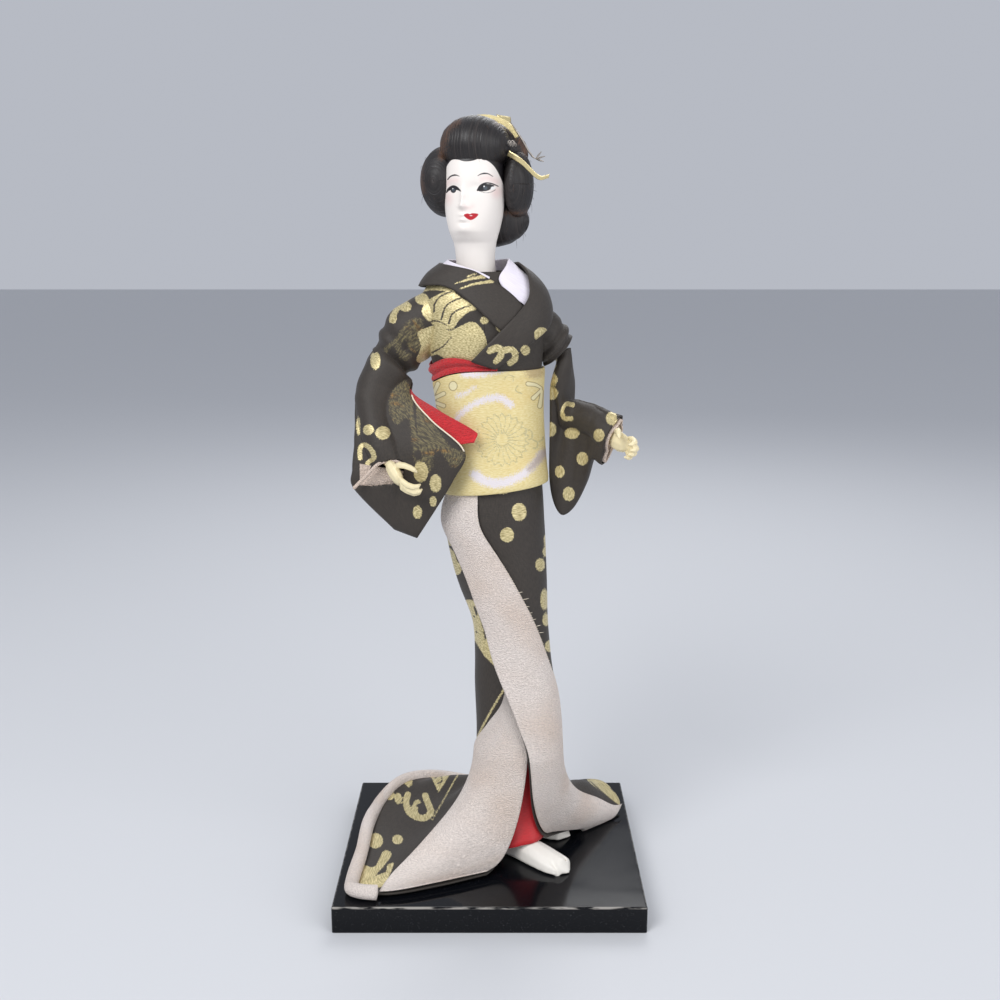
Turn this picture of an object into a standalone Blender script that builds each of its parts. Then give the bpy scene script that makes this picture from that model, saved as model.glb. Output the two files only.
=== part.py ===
"""Kimono doll on a lacquered plinth: moulded head, hands and feet on a wired and padded body,
dressed in a brocade kimono with turned-out crepe lining, a stiff sash and a fibre wig.

The doll faces -Y. Lengths are in metres. Every piece of the figure is placed from the top of the
plinth, where the empty "figure" stands, so heights in the tables count from there.
"""

import math

import bmesh
import bpy
from mathutils import Matrix, Vector

MM = 0.001

# Clearances
GAP = 0.35 * MM
SEAT = 0.3 * MM

# Plinth: a moulded tray, open below
PLINTH_WIDTH = 135.0 * MM
PLINTH_DEPTH = 116.5 * MM
PLINTH_HEIGHT = 12.0 * MM
PLINTH_WALL = 2.5 * MM
PLINTH_EDGE = 0.8 * MM

# Wires
WIRE_RADIUS = 0.9 * MM
WIRE_FOOT_LENGTH = 9.0 * MM
LEG_WIRE_RISE = 21.0 * MM

# Cloth thicknesses
KIMONO_CLOTH = 0.8 * MM
LINING_CLOTH = 0.6 * MM
SASH_CLOTH = 1.1 * MM
SKIRT_LAP_STEP = 4.0 * MM

# Outer surface of the dressed body: height, centre x, centre y, half width, half depth (mm)
BODY_ROWS = (
    (48, 11.8, -3.0, 21.0, 17.5),
    (60, 11.6, -3.0, 20.7, 17.0),
    (80, 10.6, -2.5, 20.2, 16.5),
    (94, 9.9, -2.0, 19.1, 16.0),
    (109, 9.2, -1.5, 18.4, 16.5),
    (123, 7.2, -1.0, 19.8, 17.5),
    (144, 4.2, 0.0, 22.0, 18.5),
    (157, 1.8, 0.0, 23.7, 18.5),
    (170, 2.4, 0.0, 22.3, 17.5),
    (190, 1.0, 0.0, 21.6, 16.2),
    (208, 0.0, 0.0, 21.8, 15.8),
    (224, -1.0, 0.0, 23.2, 16.5),
    (236, -1.6, 0.0, 25.0, 18.0),
    (246, -2.2, 0.0, 26.0, 17.0),
    (254, -3.4, 0.0, 24.8, 14.5),
    (260, -4.0, 0.5, 20.5, 12.5),
    (265, -4.2, 1.0, 14.5, 11.0),
    (269, -4.3, 1.0, 11.2, 10.6),
    (280, -4.4, 1.8, 10.9, 10.9),
)

# Heights of the garments' edges
KNEE_HEIGHT = 48.0 * MM
SKIRT_TOP = 190.0 * MM
BODICE_BOTTOM = 192.5 * MM
NECK_HEIGHT = 264.0 * MM
CORE_BOTTOM = 108.0 * MM
CORE_TOP = 255.0 * MM
CORE_SLOPE = 3.0 * MM
SASH_TOP = 223.5 * MM
SASH_TOP_DIP = 6.0 * MM
SASH_BOTTOM = 169.0 * MM
SASH_BOTTOM_RISE = 5.0 * MM
SCARF_HEIGHT = 9.0 * MM
SCARF_AZIMUTHS = (-10.0, 228.0)

# Skirt: share of the way down, start and end azimuth of the wrap in degrees from the front towards
# the doll's right, then the shares of the wrap where the lower and the upper lining bands end
SKIRT_EDGES = (
    (0.00, -40, 436, 0.100, 0.895),
    (0.14, -40, 428, 0.100, 0.885),
    (0.24, -38, 409, 0.100, 0.866),
    (0.32, -36, 400, 0.100, 0.832),
    (0.40, -33, 386, 0.100, 0.806),
    (0.48, -28, 366, 0.114, 0.786),
    (0.53, -22, 356, 0.172, 0.784),
    (0.60, -16, 344, 0.270, 0.788),
    (0.80, -12, 344, 0.255, 0.805),
    (1.00, -16, 344, 0.155, 0.835),
)
KNEE_SHARE = 0.60
SKIRT_COLUMNS = 44
SKIRT_ROWS = 15
UNDER_BAND_ROWS = 6
BAND_COLUMNS = 11
FLARE_EASE = 0.8 * MM
FLARE_START = 0.43

# Hem of the skirt: share of the wrap, then x, y and height (mm), from the lower front edge round
# the doll's right side and back to the upper front edge
HEM_ROWS = (
    (0.00, -1.5, -35.5, 2.2),
    (0.07, -22.0, -44.0, 1.8),
    (0.14, -43.0, -50.5, 1.6),
    (0.19, -56.5, -48.5, 1.6),
    (0.22, -58.0, -42.0, 1.8),
    (0.29, -56.5, -17.0, 1.8),
    (0.36, -56.0, 11.0, 2.2),
    (0.42, -51.5, 29.0, 5.5),
    (0.47, -42.0, 38.5, 10.5),
    (0.52, -26.0, 40.5, 11.5),
    (0.60, 3.0, 40.0, 7.0),
    (0.70, 33.0, 41.0, 8.0),
    (0.78, 55.5, 39.0, 10.0),
    (0.83, 64.0, 27.5, 3.0),
    (0.92, 45.0, 8.0, 3.4),
    (1.00, 26.0, -17.5, 10.8),
)
TRAIN_FOLDS = 9
TRAIN_FOLD_DEPTH = 1.6 * MM
HEM_ROLL_RADIUS = 2.3 * MM
HEM_ROLL_COLUMNS = (7, 35)

# Red underskirt: height, centre x, centre y, half width, half depth (mm)
UNDERSKIRT_ROWS = (
    (9.5, 11.0, -4.5, 17.0, 18.5),
    (16, 11.5, -3.4, 15.1, 14.8),
    (26, 12.0, -2.4, 13.9, 13.5),
    (36, 12.4, -2.7, 13.4, 12.1),
    (48, 12.6, -3.0, 12.8, 10.7),
    (80, 11.8, -2.5, 12.2, 9.9),
    (112, 9.0, -1.4, 12.4, 10.6),
)
UNDERSKIRT_CLOTH = 0.7 * MM

# Legs: path points from ankle to hip, and the foot's plan
FRONT_ANKLE = (11.0, -12.0, 10.0)
FRONT_KNEE = (7.6, -4.2, 60.0)
FRONT_HIP = (5.2, -1.4, 106.5)
REAR_ANKLE = (9.0, 7.0, 10.0)
REAR_KNEE = (17.4, -2.0, 60.0)
REAR_HIP = (13.7, -1.4, 106.5)
ANKLE_RADIUS = 4.0 * MM
KNEE_RADIUS = 4.5 * MM
HIP_RADIUS = 3.9 * MM
FOOT_LENGTH = 38.0 * MM
FOOT_WIDTH = 13.0 * MM
FOOT_HEIGHT = 10.5 * MM
FRONT_FOOT_TURN = -38.0
REAR_FOOT_TURN = -22.0
# Foot: share of its length, share of its width, share of its height
FOOT_ROWS = (
    (0.00, 0.00, 0.00),
    (0.05, 0.52, 0.70),
    (0.16, 0.70, 0.95),
    (0.34, 0.76, 1.00),
    (0.62, 0.96, 0.80),
    (0.80, 1.00, 0.60),
    (0.93, 0.76, 0.46),
    (1.00, 0.00, 0.00),
)
TOE_SPLIT_WIDTH = 0.9 * MM
TOE_SPLIT_LENGTH = 7.5 * MM

# Head and neck: height from the head's middle, centre y, half width, front depth, back depth (mm)
HEAD_ORIGIN = (-6.1, 0.0, NECK_HEIGHT / MM + 30.0)
HEAD_TURN = -20.0
HEAD_ROWS = (
    (-46.0, 1.2, 6.2, 6.2, 6.2),
    (-37.6, 1.2, 6.3, 6.3, 6.3),
    (-37.2, 1.0, 11.0, 9.6, 9.2),
    (-34.0, 1.0, 9.6, 8.8, 8.8),
    (-30.0, 1.0, 8.5, 8.3, 8.5),
    (-24.0, 0.6, 8.3, 8.2, 8.6),
    (-18.5, 0.3, 8.9, 9.2, 9.2),
    (-15.6, 0.1, 9.7, 11.4, 9.8),
    (-13.0, 0.0, 10.5, 12.9, 10.4),
    (-7.0, 0.0, 11.9, 13.3, 11.6),
    (1.0, 0.0, 12.6, 13.2, 12.6),
    (9.0, 0.0, 12.5, 13.2, 13.0),
    (16.0, 0.0, 11.2, 12.0, 12.2),
    (21.5, 0.0, 8.2, 9.0, 9.6),
    (25.0, 0.0, 1.6, 1.8, 2.0),
)
NECK_PEG_RADIUS = 6.4 * MM
# Soft forms of the face: side, height, push out, spread sideways, spread in height (mm)
FACE_FORMS = (
    (0.0, -3.0, 2.4, 1.7, 2.2),
    (0.0, 2.0, 1.3, 1.5, 4.0),
    (0.0, -7.4, 1.0, 2.6, 1.5),
    (0.0, -12.2, 0.8, 3.6, 2.0),
    (-5.2, 3.6, -1.0, 2.6, 1.9),
    (5.2, 3.6, -1.0, 2.6, 1.9),
)

# Wig: middle and half axes of each combed form, in the head's own frame (mm)
HAIR_FORMS = {
    "hair_front_roll": ((0.0, 1.0, 21.0), (14.6, 15.0, 12.2)),
    "hair_wing_right": ((-13.8, 2.5, 7.0), (10.2, 14.0, 14.4)),
    "hair_wing_left": ((16.6, 8.0, 5.6), (5.8, 10.2, 13.4)),
    "hair_bun": ((0.5, 13.0, 18.0), (18.3, 10.0, 13.0)),
    "hair_nape_roll": ((1.8, 11.5, -9.0), (18.2, 9.5, 11.2)),
}

# Hair ornaments, in the head's own frame (mm)
HAIRPIN_PATH = ((14.9, -0.2, 17.8), (20.9, -0.3, 14.2), (26.6, 4.0, 8.3), (30.0, 7.6, 8.8))
HAIRPIN_HALF_WIDTH = 1.2 * MM
HAIRPIN_THICKNESS = 0.5 * MM
WIRE_SPRAY_STEM = ((12.8, 8.0, 31.0), (18.5, 4.8, 24.5), (22.6, 4.6, 18.0), (25.0, 5.2, 15.6))
WIRE_SPRAY_RADIUS = 0.45 * MM
WIRE_SPRAY_LOOPS = ((27.4, 5.6, 18.6), (29.2, 5.0, 16.6), (28.2, 6.6, 14.6))
COMB_MIDDLE = (0.5, 8.5, 17.5)
COMB_HALF_AXES = (17.6, 15.6)
COMB_ANGLES = (28.0, 104.0)
COMB_WIDTH = 2.2 * MM
COMB_THICKNESS = 0.7 * MM

# Upper arms of the bodice: shoulder point, elbow point, radii (mm)
RIGHT_UPPER_ARM = ((-19.0, 0.5, 247.5), (-43.4, 3.0, 224.0), 10.4, 7.8)
LEFT_UPPER_ARM = ((13.5, 2.6, 245.0), (29.6, 6.0, 229.6), 9.6, 7.6)

# Sleeve bags: share of the way to the mouth, edge over the arm, hanging edge, distance of the arm's
# middle from the first edge, radius round the arm, half thickness of the hanging bag (mm)
RIGHT_SLEEVE_THROUGH = (0.17, 0.86, -0.48)
LEFT_SLEEVE_THROUGH = (0.50, 0.85, -0.10)
RIGHT_SLEEVE_ROWS = (
    (0.00, (-50.6, 4.0, 232.0), (-32.6, 1.0, 219.0), 10.8, 10.2, 3.0),
    (0.18, (-56.8, 1.0, 214.5), (-33.0, -8.0, 211.8), 8.8, 8.4, 3.0),
    (0.38, (-57.5, -6.0, 203.5), (-24.3, -16.5, 202.8), 8.2, 7.0, 2.4),
    (0.56, (-57.6, -12.0, 192.0), (-10.5, -22.2, 190.6), 11.8, 7.4, 2.4),
    (0.74, (-57.9, -15.0, 181.6), (-15.7, -22.0, 178.0), 16.0, 5.6, 2.2),
    (0.87, (-57.6, -16.0, 172.9), (-21.7, -20.5, 167.7), 17.0, 2.4, 2.2),
    (1.00, (-40.6, -17.5, 155.8), (-31.3, -18.5, 152.4), 5.0, 1.2, 1.6),
)
LEFT_SLEEVE_ROWS = (
    (0.00, (36.4, 7.5, 227.4), (26.4, 4.5, 224.6), 5.2, 6.8, 3.0),
    (0.12, (36.0, 6.5, 215.6), (26.9, 2.5, 199.0), 5.6, 6.4, 2.6),
    (0.25, (35.4, 6.0, 209.0), (27.2, 1.0, 171.5), 6.4, 6.4, 2.4),
    (0.40, (38.6, 2.0, 208.9), (31.2, -2.0, 159.2), 6.4, 6.2, 2.2),
    (0.52, (41.0, -1.0, 208.5), (36.7, -3.0, 162.2), 6.4, 6.2, 2.2),
    (0.66, (44.8, -6.0, 207.9), (42.0, -6.0, 174.1), 6.6, 6.2, 2.2),
    (0.80, (49.4, -11.0, 206.5), (44.1, -10.0, 184.6), 7.4, 6.2, 3.0),
    (1.00, (55.4, -17.0, 204.8), (48.1, -14.5, 183.7), 9.6, 6.6, 3.4),
)
SLEEVE_OPEN_SHARE = 0.55
SLEEVE_SLIT = 0.045
SLEEVE_FOLD_SHARE = 0.965
RED_SLEEVE_PROUD = 6.0 * MM
CUFF_SHARE = 0.80
CUFF_PROUD = 1.4 * MM
# Outline of the right sleeve's mouth, seen from the front: x and height (mm)
SLEEVE_MOUTH = (
    (-56.0, 175.2),
    (-51.5, 180.5),
    (-48.0, 187.2),
    (-44.8, 190.6),
    (-38.6, 190.8),
    (-34.6, 186.2),
    (-36.6, 179.6),
    (-40.4, 176.4),
    (-48.5, 175.0),
)
SLEEVE_COLUMNS = 18
SLEEVE_ROWS = 10
MOUTH_SLEEVE_COLUMNS = 30
MOUTH_SLEEVE_ROWS = 26

# Forearms: elbow end, middle, wrist, wrist and elbow radii (mm), and where the hand points
RIGHT_FOREARM = ((-50.0, -6.5, 205.0), (-48.0, -12.0, 196.0), (-43.0, -20.6, 185.4), 3.1, 3.0)
RIGHT_HAND_TURN = (46.0, -20.0, 22.0)
LEFT_FOREARM = ((38.6, 0.8, 202.4), (45.4, -7.4, 200.6), (51.4, -16.0, 195.6), 3.2, 3.0)
LEFT_HAND_TURN = (80.0, 0.0, 38.0)
RIGHT_WIRE_PATH = ((-36.0, 2.0, 231.5), (-43.0, 2.4, 223.0), (-48.6, -2.4, 213.0))
LEFT_WIRE_PATH = ((26.0, 5.0, 233.0), (30.6, 5.7, 223.5), (32.8, 5.5, 213.5), (34.2, 5.0, 206.5))
HAND_SCALE = 1.16
PALM_MIDDLE = (0.4, 0.0, -5.0)
PALM_HALF_AXES = (2.4, 3.9, 5.6)
FINGER_RADIUS = 1.15 * MM
FINGER_TIP_RADIUS = 0.85 * MM
FINGER_SPREAD = (-3.0, -1.1, 0.9, 2.8)
FINGER_REACH = (1.0, 1.08, 1.04, 0.92)

# Sash bow at the back (mm)
BOW_WIDTH = 36.0 * MM
BOW_HEIGHT = 31.0 * MM
BOW_DEPTH = 11.0 * MM
BOW_BOTTOM = 181.0 * MM
BOW_TAIL_DROP = 12.0 * MM
BOW_TAIL_WIDTH = 28.0 * MM
BOW_PILLOW_RADIUS = 4.2 * MM

# Collar strips: share along the strip, azimuth and height of the outer edge, azimuth and height of
# the inner edge, distance out from the body (mm and degrees)
COLLAR_ROWS = (
    (0.00, -24, 236.5, -46, 246.0, 2.15),
    (0.08, -16, 239.5, -38, 249.5, 2.15),
    (0.17, -2, 245.5, -30, 254.0, 2.15),
    (0.25, 10, 251.0, -20, 258.0, 2.15),
    (0.32, 24, 255.5, -8, 261.0, 2.15),
    (0.38, 42, 257.5, 10, 264.0, 2.45),
    (0.44, 66, 257.0, 38, 265.0, 2.90),
    (0.50, 105, 256.0, 86, 265.0, 3.20),
    (0.56, 150, 255.5, 142, 265.0, 3.30),
    (0.62, 205, 255.5, 216, 265.0, 3.40),
    (0.68, 238, 255.5, 262, 265.0, 3.45),
    (0.74, 260, 253.0, 290, 261.5, 3.40),
    (0.80, 273, 249.5, 304, 257.5, 3.40),
    (0.86, 290, 242.0, 316, 252.0, 3.40),
    (0.92, 316, 235.5, 336, 244.5, 3.40),
    (1.00, 352, 225.0, 374, 228.5, 3.40),
)
UNDER_COLLAR_ROWS = (
    (0.00, -4, 256.0, -13, 261.6, 0.90),
    (0.12, 6, 258.5, -3, 263.4, 0.90),
    (0.22, 20, 260.5, 14, 265.2, 0.90),
    (0.32, 52, 262.0, 50, 267.0, 1.25),
    (0.42, 95, 262.4, 95, 267.8, 1.60),
    (0.52, 180, 262.4, 180, 268.2, 1.70),
    (0.62, 245, 262.2, 255, 268.4, 1.60),
    (0.72, 268, 258.0, 282, 268.0, 0.90),
    (0.82, 284, 254.0, 316, 265.0, 0.90),
    (0.91, 298, 250.5, 336, 261.0, 0.90),
    (1.00, 310, 247.5, 334, 255.0, 0.90),
)
# Neck opening of the bodice seen from the front: x and height (mm)
NECK_OPENING = (
    (-17.0, 282.0),
    (-17.0, 266.0),
    (-4.0, 259.0),
    (5.0, 251.0),
    (11.0, 249.5),
    (11.0, 282.0),
)
NECK_OPENING_DEPTHS = (-32.0, 0.5)


def scaled(point):
    """A point given in millimetres, in metres."""
    return Vector(point) * MM


def interpolated(rows, place):
    """Values at a place between rows that start with their own place, on a smooth curve."""
    first, last = rows[0][0], rows[-1][0]
    place = min(max(place, first), last)
    index = max(i for i in range(len(rows) - 1) if rows[i][0] <= place)
    here, there = rows[index], rows[index + 1]
    before, after = rows[max(index - 1, 0)], rows[min(index + 2, len(rows) - 1)]
    span = there[0] - here[0]
    t = (place - here[0]) / span
    found = []
    for k in range(1, len(here)):
        leave = (there[k] - before[k]) / (there[0] - before[0]) * span
        arrive = (after[k] - here[k]) / (after[0] - here[0]) * span
        change = there[k] - here[k]
        found.append(
            here[k]
            + leave * t
            + (3 * change - 2 * leave - arrive) * t**2
            + (leave + arrive - 2 * change) * t**3
        )
    return found


def bump(value, middle, spread):
    """A smooth hill of height 1 at its middle."""
    return math.exp(-(((value - middle) / spread) ** 2))


def bump_around(azimuth, middle, spread):
    """The same hill on a circle of degrees."""
    return bump((azimuth - middle + 180) % 360 - 180, 0, spread)


def material(name, colour, roughness, metallic=0.0):
    """A plain finish."""
    made = bpy.data.materials.new(name)
    made.use_nodes = True
    shader = made.node_tree.nodes["Principled BSDF"]
    shader.inputs["Base Color"].default_value = (*colour, 1.0)
    shader.inputs["Roughness"].default_value = roughness
    shader.inputs["Metallic"].default_value = metallic
    return made


def add_object(name, bm, finish, parent):
    """Turns a bmesh into a named object that stands in its parent's frame."""
    bmesh.ops.recalc_face_normals(bm, faces=bm.faces)
    mesh = bpy.data.meshes.new(name)
    bm.to_mesh(mesh)
    bm.free()
    mesh.shade_smooth()
    mesh.materials.append(finish)
    made = bpy.data.objects.new(name, mesh)
    bpy.context.scene.collection.objects.link(made)
    made.parent = parent
    return made


def grid_bmesh(surface, columns, rows, closed=False):
    """A unit grid with each point placed by surface(u, v); closed joins its first and last column."""
    bm = bmesh.new()
    bmesh.ops.create_grid(bm, x_segments=columns, y_segments=rows, size=0.5)
    for vert in bm.verts:
        vert.co = surface(vert.co.x + 0.5, vert.co.y + 0.5)
    if closed:
        bmesh.ops.remove_doubles(bm, verts=bm.verts, dist=1e-7)
    return bm


def split_grid(surface, columns, rows):
    """The same grid in triangles that all run one way, so that sheets laid on each other agree."""
    bm = grid_bmesh(surface, columns, rows)
    bmesh.ops.triangulate(bm, faces=bm.faces, quad_method="FIXED")
    bmesh.ops.remove_doubles(bm, verts=bm.verts, dist=1e-6)
    return bm


def close_ends(bm):
    """Caps the open ends of a tube."""
    bmesh.ops.holes_fill(bm, edges=[e for e in bm.edges if e.is_boundary], sides=0)


def tube_bmesh(points, radii, sides, rows):
    """A round bar along a smooth curve through the points, with domed ends."""
    count = len(points) - 1
    path = [(i / count, *point, radius) for i, (point, radius) in enumerate(zip(points, radii))]
    dome = 0.16 / count

    def surface(u, v):
        along = interpolated(path, v)
        ahead, behind = interpolated(path, min(v + 0.02, 1)), interpolated(path, max(v - 0.02, 0))
        way = (Vector(ahead[:3]) - Vector(behind[:3])).normalized()
        side = way.cross(Vector((0.31, 0.9, 0.3))).normalized()
        other = way.cross(side)
        end = min(v, 1 - v)
        narrow = math.sqrt(max(1 - (1 - min(end / dome, 1)) ** 2, 0.12))
        angle = math.tau * u
        return (
            Vector(along[:3])
            + (side * math.cos(angle) + other * math.sin(angle)) * along[3] * narrow
        )

    bm = grid_bmesh(surface, sides, rows, closed=True)
    close_ends(bm)
    return bm


def prism_bmesh(outline, near, far):
    """A bar with that outline in x and height (mm), from one depth to the other (mm)."""
    bm = bmesh.new()
    front = bm.faces.new([bm.verts.new((x * MM, near * MM, z * MM)) for x, z in outline])
    back = bmesh.ops.extrude_face_region(bm, geom=[front])["geom"]
    moved = [item for item in back if isinstance(item, bmesh.types.BMVert)]
    bmesh.ops.translate(bm, verts=moved, vec=(0, (far - near) * MM, 0))
    return bm


def solidify(made, thickness, offset=0.0):
    """Gives a sheet its thickness."""
    shell = made.modifiers.new("Cloth", "SOLIDIFY")
    shell.thickness = thickness
    shell.offset = offset
    shell.use_even_offset = True
    return made


def boolean(made, other, operation):
    """Cuts or joins with another object, which is then only a guide."""
    tool = made.modifiers.new(operation.title(), "BOOLEAN")
    tool.operation = operation
    tool.object = other
    tool.solver = "EXACT"
    other.hide_render = True
    other.display_type = "WIRE"


def body_ring(height, azimuth, grow=0.0):
    """A point of the dressed body's surface, grown outwards; azimuth 0 is the front."""
    centre_x, centre_y, half_width, half_depth = interpolated(BODY_ROWS, height / MM)
    angle = math.radians(azimuth)
    return Vector(
        (
            centre_x * MM - (half_width * MM + grow) * math.sin(angle),
            centre_y * MM - (half_depth * MM + grow) * math.cos(angle),
            height,
        )
    )


def skirt_point(share, down):
    """The skirt's middle surface: share of the wrap, and share of the way down."""
    start, end = interpolated(SKIRT_EDGES, down)[:2]
    azimuth = start + (end - start) * share
    lap = SKIRT_LAP_STEP * (1 - (azimuth - SKIRT_EDGES[0][1]) / (SKIRT_EDGES[0][2] - SKIRT_EDGES[0][1]))
    inset = -lap - KIMONO_CLOTH / 2
    if down <= KNEE_SHARE:
        height = SKIRT_TOP + (KNEE_HEIGHT - SKIRT_TOP) * down / KNEE_SHARE
        return body_ring(height, azimuth, inset)
    flare = (down - KNEE_SHARE) / (1 - KNEE_SHARE) * math.pi / 2
    knee = body_ring(KNEE_HEIGHT, azimuth, inset)
    hem = scaled(interpolated(HEM_ROWS, share))
    out, fall = 1 - math.cos(flare), math.sin(flare)
    point = knee.lerp(hem, out)
    point.z = knee.z + (hem.z - knee.z) * fall
    raised = bump(share, 0.46, 0.10) * 5 + bump(share, 0.77, 0.09) * 6
    point.z += raised * MM * bump(out, 0.62, 0.30) * (1 - out**3)
    outward = (hem - knee).to_2d().normalized().to_3d()
    wave = math.sin(math.tau * TRAIN_FOLDS * share) * bump(share, 0.5, 0.28)
    return point + outward * wave * TRAIN_FOLD_DEPTH * math.sin(flare) * (1 - out**4)


def skirt_normal(share, down):
    """The direction at right angles to the skirt, over one step of its grid each way."""
    beside, below = 1 / SKIRT_COLUMNS, 1 / SKIRT_ROWS
    along = skirt_point(min(share + beside, 1), down) - skirt_point(max(share - beside, 0), down)
    fall = skirt_point(share, min(down + below, 1)) - skirt_point(share, max(down - below, 0))
    return along.cross(fall).normalized()


def skirt_outside(share, down, distance):
    """A point that far outside the skirt's middle surface."""
    flare = min(max((down - FLARE_START) * 10, 0), 1)
    point = skirt_point(share, down) + skirt_normal(share, down) * (distance + FLARE_EASE * flare)
    point.z = max(point.z, SEAT + LINING_CLOTH)
    return point


def make_plinth(finish):
    """The plinth: a moulded tray with bevelled top edges and a hole for each leg wire."""
    bm = bmesh.new()
    size = Matrix.Diagonal((PLINTH_WIDTH, PLINTH_DEPTH, PLINTH_HEIGHT, 1.0))
    bmesh.ops.create_cube(bm, size=1.0, matrix=Matrix.Translation((0, 0, PLINTH_HEIGHT / 2)) @ size)
    underside = min(bm.faces, key=lambda face: face.calc_center_median().z)
    bmesh.ops.inset_individual(bm, faces=[underside], thickness=PLINTH_WALL)
    hollow = bmesh.ops.extrude_discrete_faces(bm, faces=[underside])["faces"]
    bmesh.ops.translate(
        bm, verts=hollow[0].verts, vec=(0, 0, PLINTH_HEIGHT - PLINTH_WALL)
    )
    outer = [
        edge
        for edge in bm.edges
        if all(abs(v.co.x) > PLINTH_WIDTH / 2 - MM / 10 for v in edge.verts)
        or all(abs(v.co.y) > PLINTH_DEPTH / 2 - MM / 10 for v in edge.verts)
    ]
    rim = [edge for edge in outer if max(v.co.z for v in edge.verts) > PLINTH_HEIGHT / 2]
    bmesh.ops.bevel(
        bm, geom=rim, offset=PLINTH_EDGE, segments=2, profile=0.5, affect="EDGES", material=-1
    )
    plinth = add_object("plinth", bm, finish, None)
    for name, ankle in (("front", FRONT_ANKLE), ("rear", REAR_ANKLE)):
        drill = bmesh.new()
        bmesh.ops.create_cone(
            drill,
            cap_ends=True,
            segments=10,
            radius1=WIRE_RADIUS + GAP,
            radius2=WIRE_RADIUS + GAP,
            depth=PLINTH_HEIGHT * 2,
            matrix=Matrix.Translation((ankle[0] * MM, ankle[1] * MM, PLINTH_HEIGHT)),
        )
        boolean(plinth, add_object(f"{name}_wire_hole", drill, finish, None), "DIFFERENCE")
    return plinth


def foot_bmesh(turn, ankle):
    """A tabi foot: a domed wedge with a flat sole, its toe pointing along +X before the turn."""
    heel = FOOT_LENGTH * 0.27

    def surface(u, v):
        angle = math.tau * u
        width, height = interpolated(FOOT_ROWS, v)
        rise = max(math.sin(angle), -0.12) + 0.12
        return Vector(
            (
                FOOT_LENGTH * v - heel,
                FOOT_WIDTH / 2 * width * math.cos(angle),
                FOOT_HEIGHT * height * rise / 1.12 + SEAT,
            )
        )

    bm = grid_bmesh(surface, 12, 10, closed=True)
    bmesh.ops.rotate(bm, verts=bm.verts, matrix=Matrix.Rotation(math.radians(turn), 3, "Z"))
    bmesh.ops.translate(bm, verts=bm.verts, vec=(ankle[0] * MM, ankle[1] * MM, 0))
    return bm


def make_leg(name, ankle, knee, hip, turn, finish, figure):
    """A moulded leg with its split-toed foot, bored for its wire."""
    ankle, knee, hip = scaled(ankle), scaled(knee), scaled(hip)
    low = ankle - Vector((0, 0, ankle.z - FOOT_HEIGHT * 0.45))
    radii = (ANKLE_RADIUS, ANKLE_RADIUS, KNEE_RADIUS, HIP_RADIUS)
    shin = add_object(f"{name}_shin", tube_bmesh((low, ankle, knee, hip), radii, 10, 9), finish, figure)
    leg = add_object(name, foot_bmesh(turn, ankle / MM), finish, figure)
    boolean(leg, shin, "UNION")
    bore = bmesh.new()
    length = LEG_WIRE_RISE + GAP
    bmesh.ops.create_cone(
        bore,
        cap_ends=True,
        segments=10,
        radius1=WIRE_RADIUS + GAP,
        radius2=WIRE_RADIUS + GAP,
        depth=length * 2,
        matrix=Matrix.Translation((ankle.x, ankle.y, 0)),
    )
    boolean(leg, add_object(f"{name}_bore", bore, finish, figure), "DIFFERENCE")
    split = bmesh.new()
    place = Matrix.Translation((ankle.x, ankle.y, 0)) @ Matrix.Rotation(math.radians(turn), 4, "Z")
    toe = FOOT_LENGTH * 0.73 - TOE_SPLIT_LENGTH / 2 + MM
    size = Matrix.Diagonal((TOE_SPLIT_LENGTH, TOE_SPLIT_WIDTH, FOOT_HEIGHT * 2, 1.0))
    shift = Matrix.Translation((toe, FOOT_WIDTH * 0.16, FOOT_HEIGHT * 1.25))
    bmesh.ops.create_cube(split, size=1.0, matrix=place @ shift @ size)
    boolean(leg, add_object(f"{name}_toe_split", split, finish, figure), "DIFFERENCE")
    return leg


def make_leg_wire(name, ankle, finish, figure):
    """A stiff wire from under the plinth's top up into the leg, bent over below."""
    x, y = ankle[0] * MM, ankle[1] * MM
    under = -PLINTH_WALL - 4 * WIRE_RADIUS
    straight = -PLINTH_WALL - 0.5 * WIRE_RADIUS
    rise = (LEG_WIRE_RISE - straight) / 3
    points = [
        Vector((x - WIRE_FOOT_LENGTH, y, under)),
        Vector((x - WIRE_FOOT_LENGTH / 2, y, under)),
        Vector((x - WIRE_RADIUS, y, under + WIRE_RADIUS)),
        *(Vector((x, y, straight + rise * step)) for step in range(4)),
    ]
    return add_object(name, tube_bmesh(points, [WIRE_RADIUS] * 7, 6, 12), finish, figure)


def core_inset(height):
    """How far the padded body lies inside the dressed surface."""
    bodice = KIMONO_CLOTH + 4 * GAP
    skirt = SKIRT_LAP_STEP + KIMONO_CLOTH + UNDERSKIRT_CLOTH + 6 * GAP
    share = min(max((height - SKIRT_TOP) / (BODICE_BOTTOM - SKIRT_TOP) / 4, 0), 1)
    return skirt + (bodice - skirt) * share * share * (3 - 2 * share)


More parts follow.
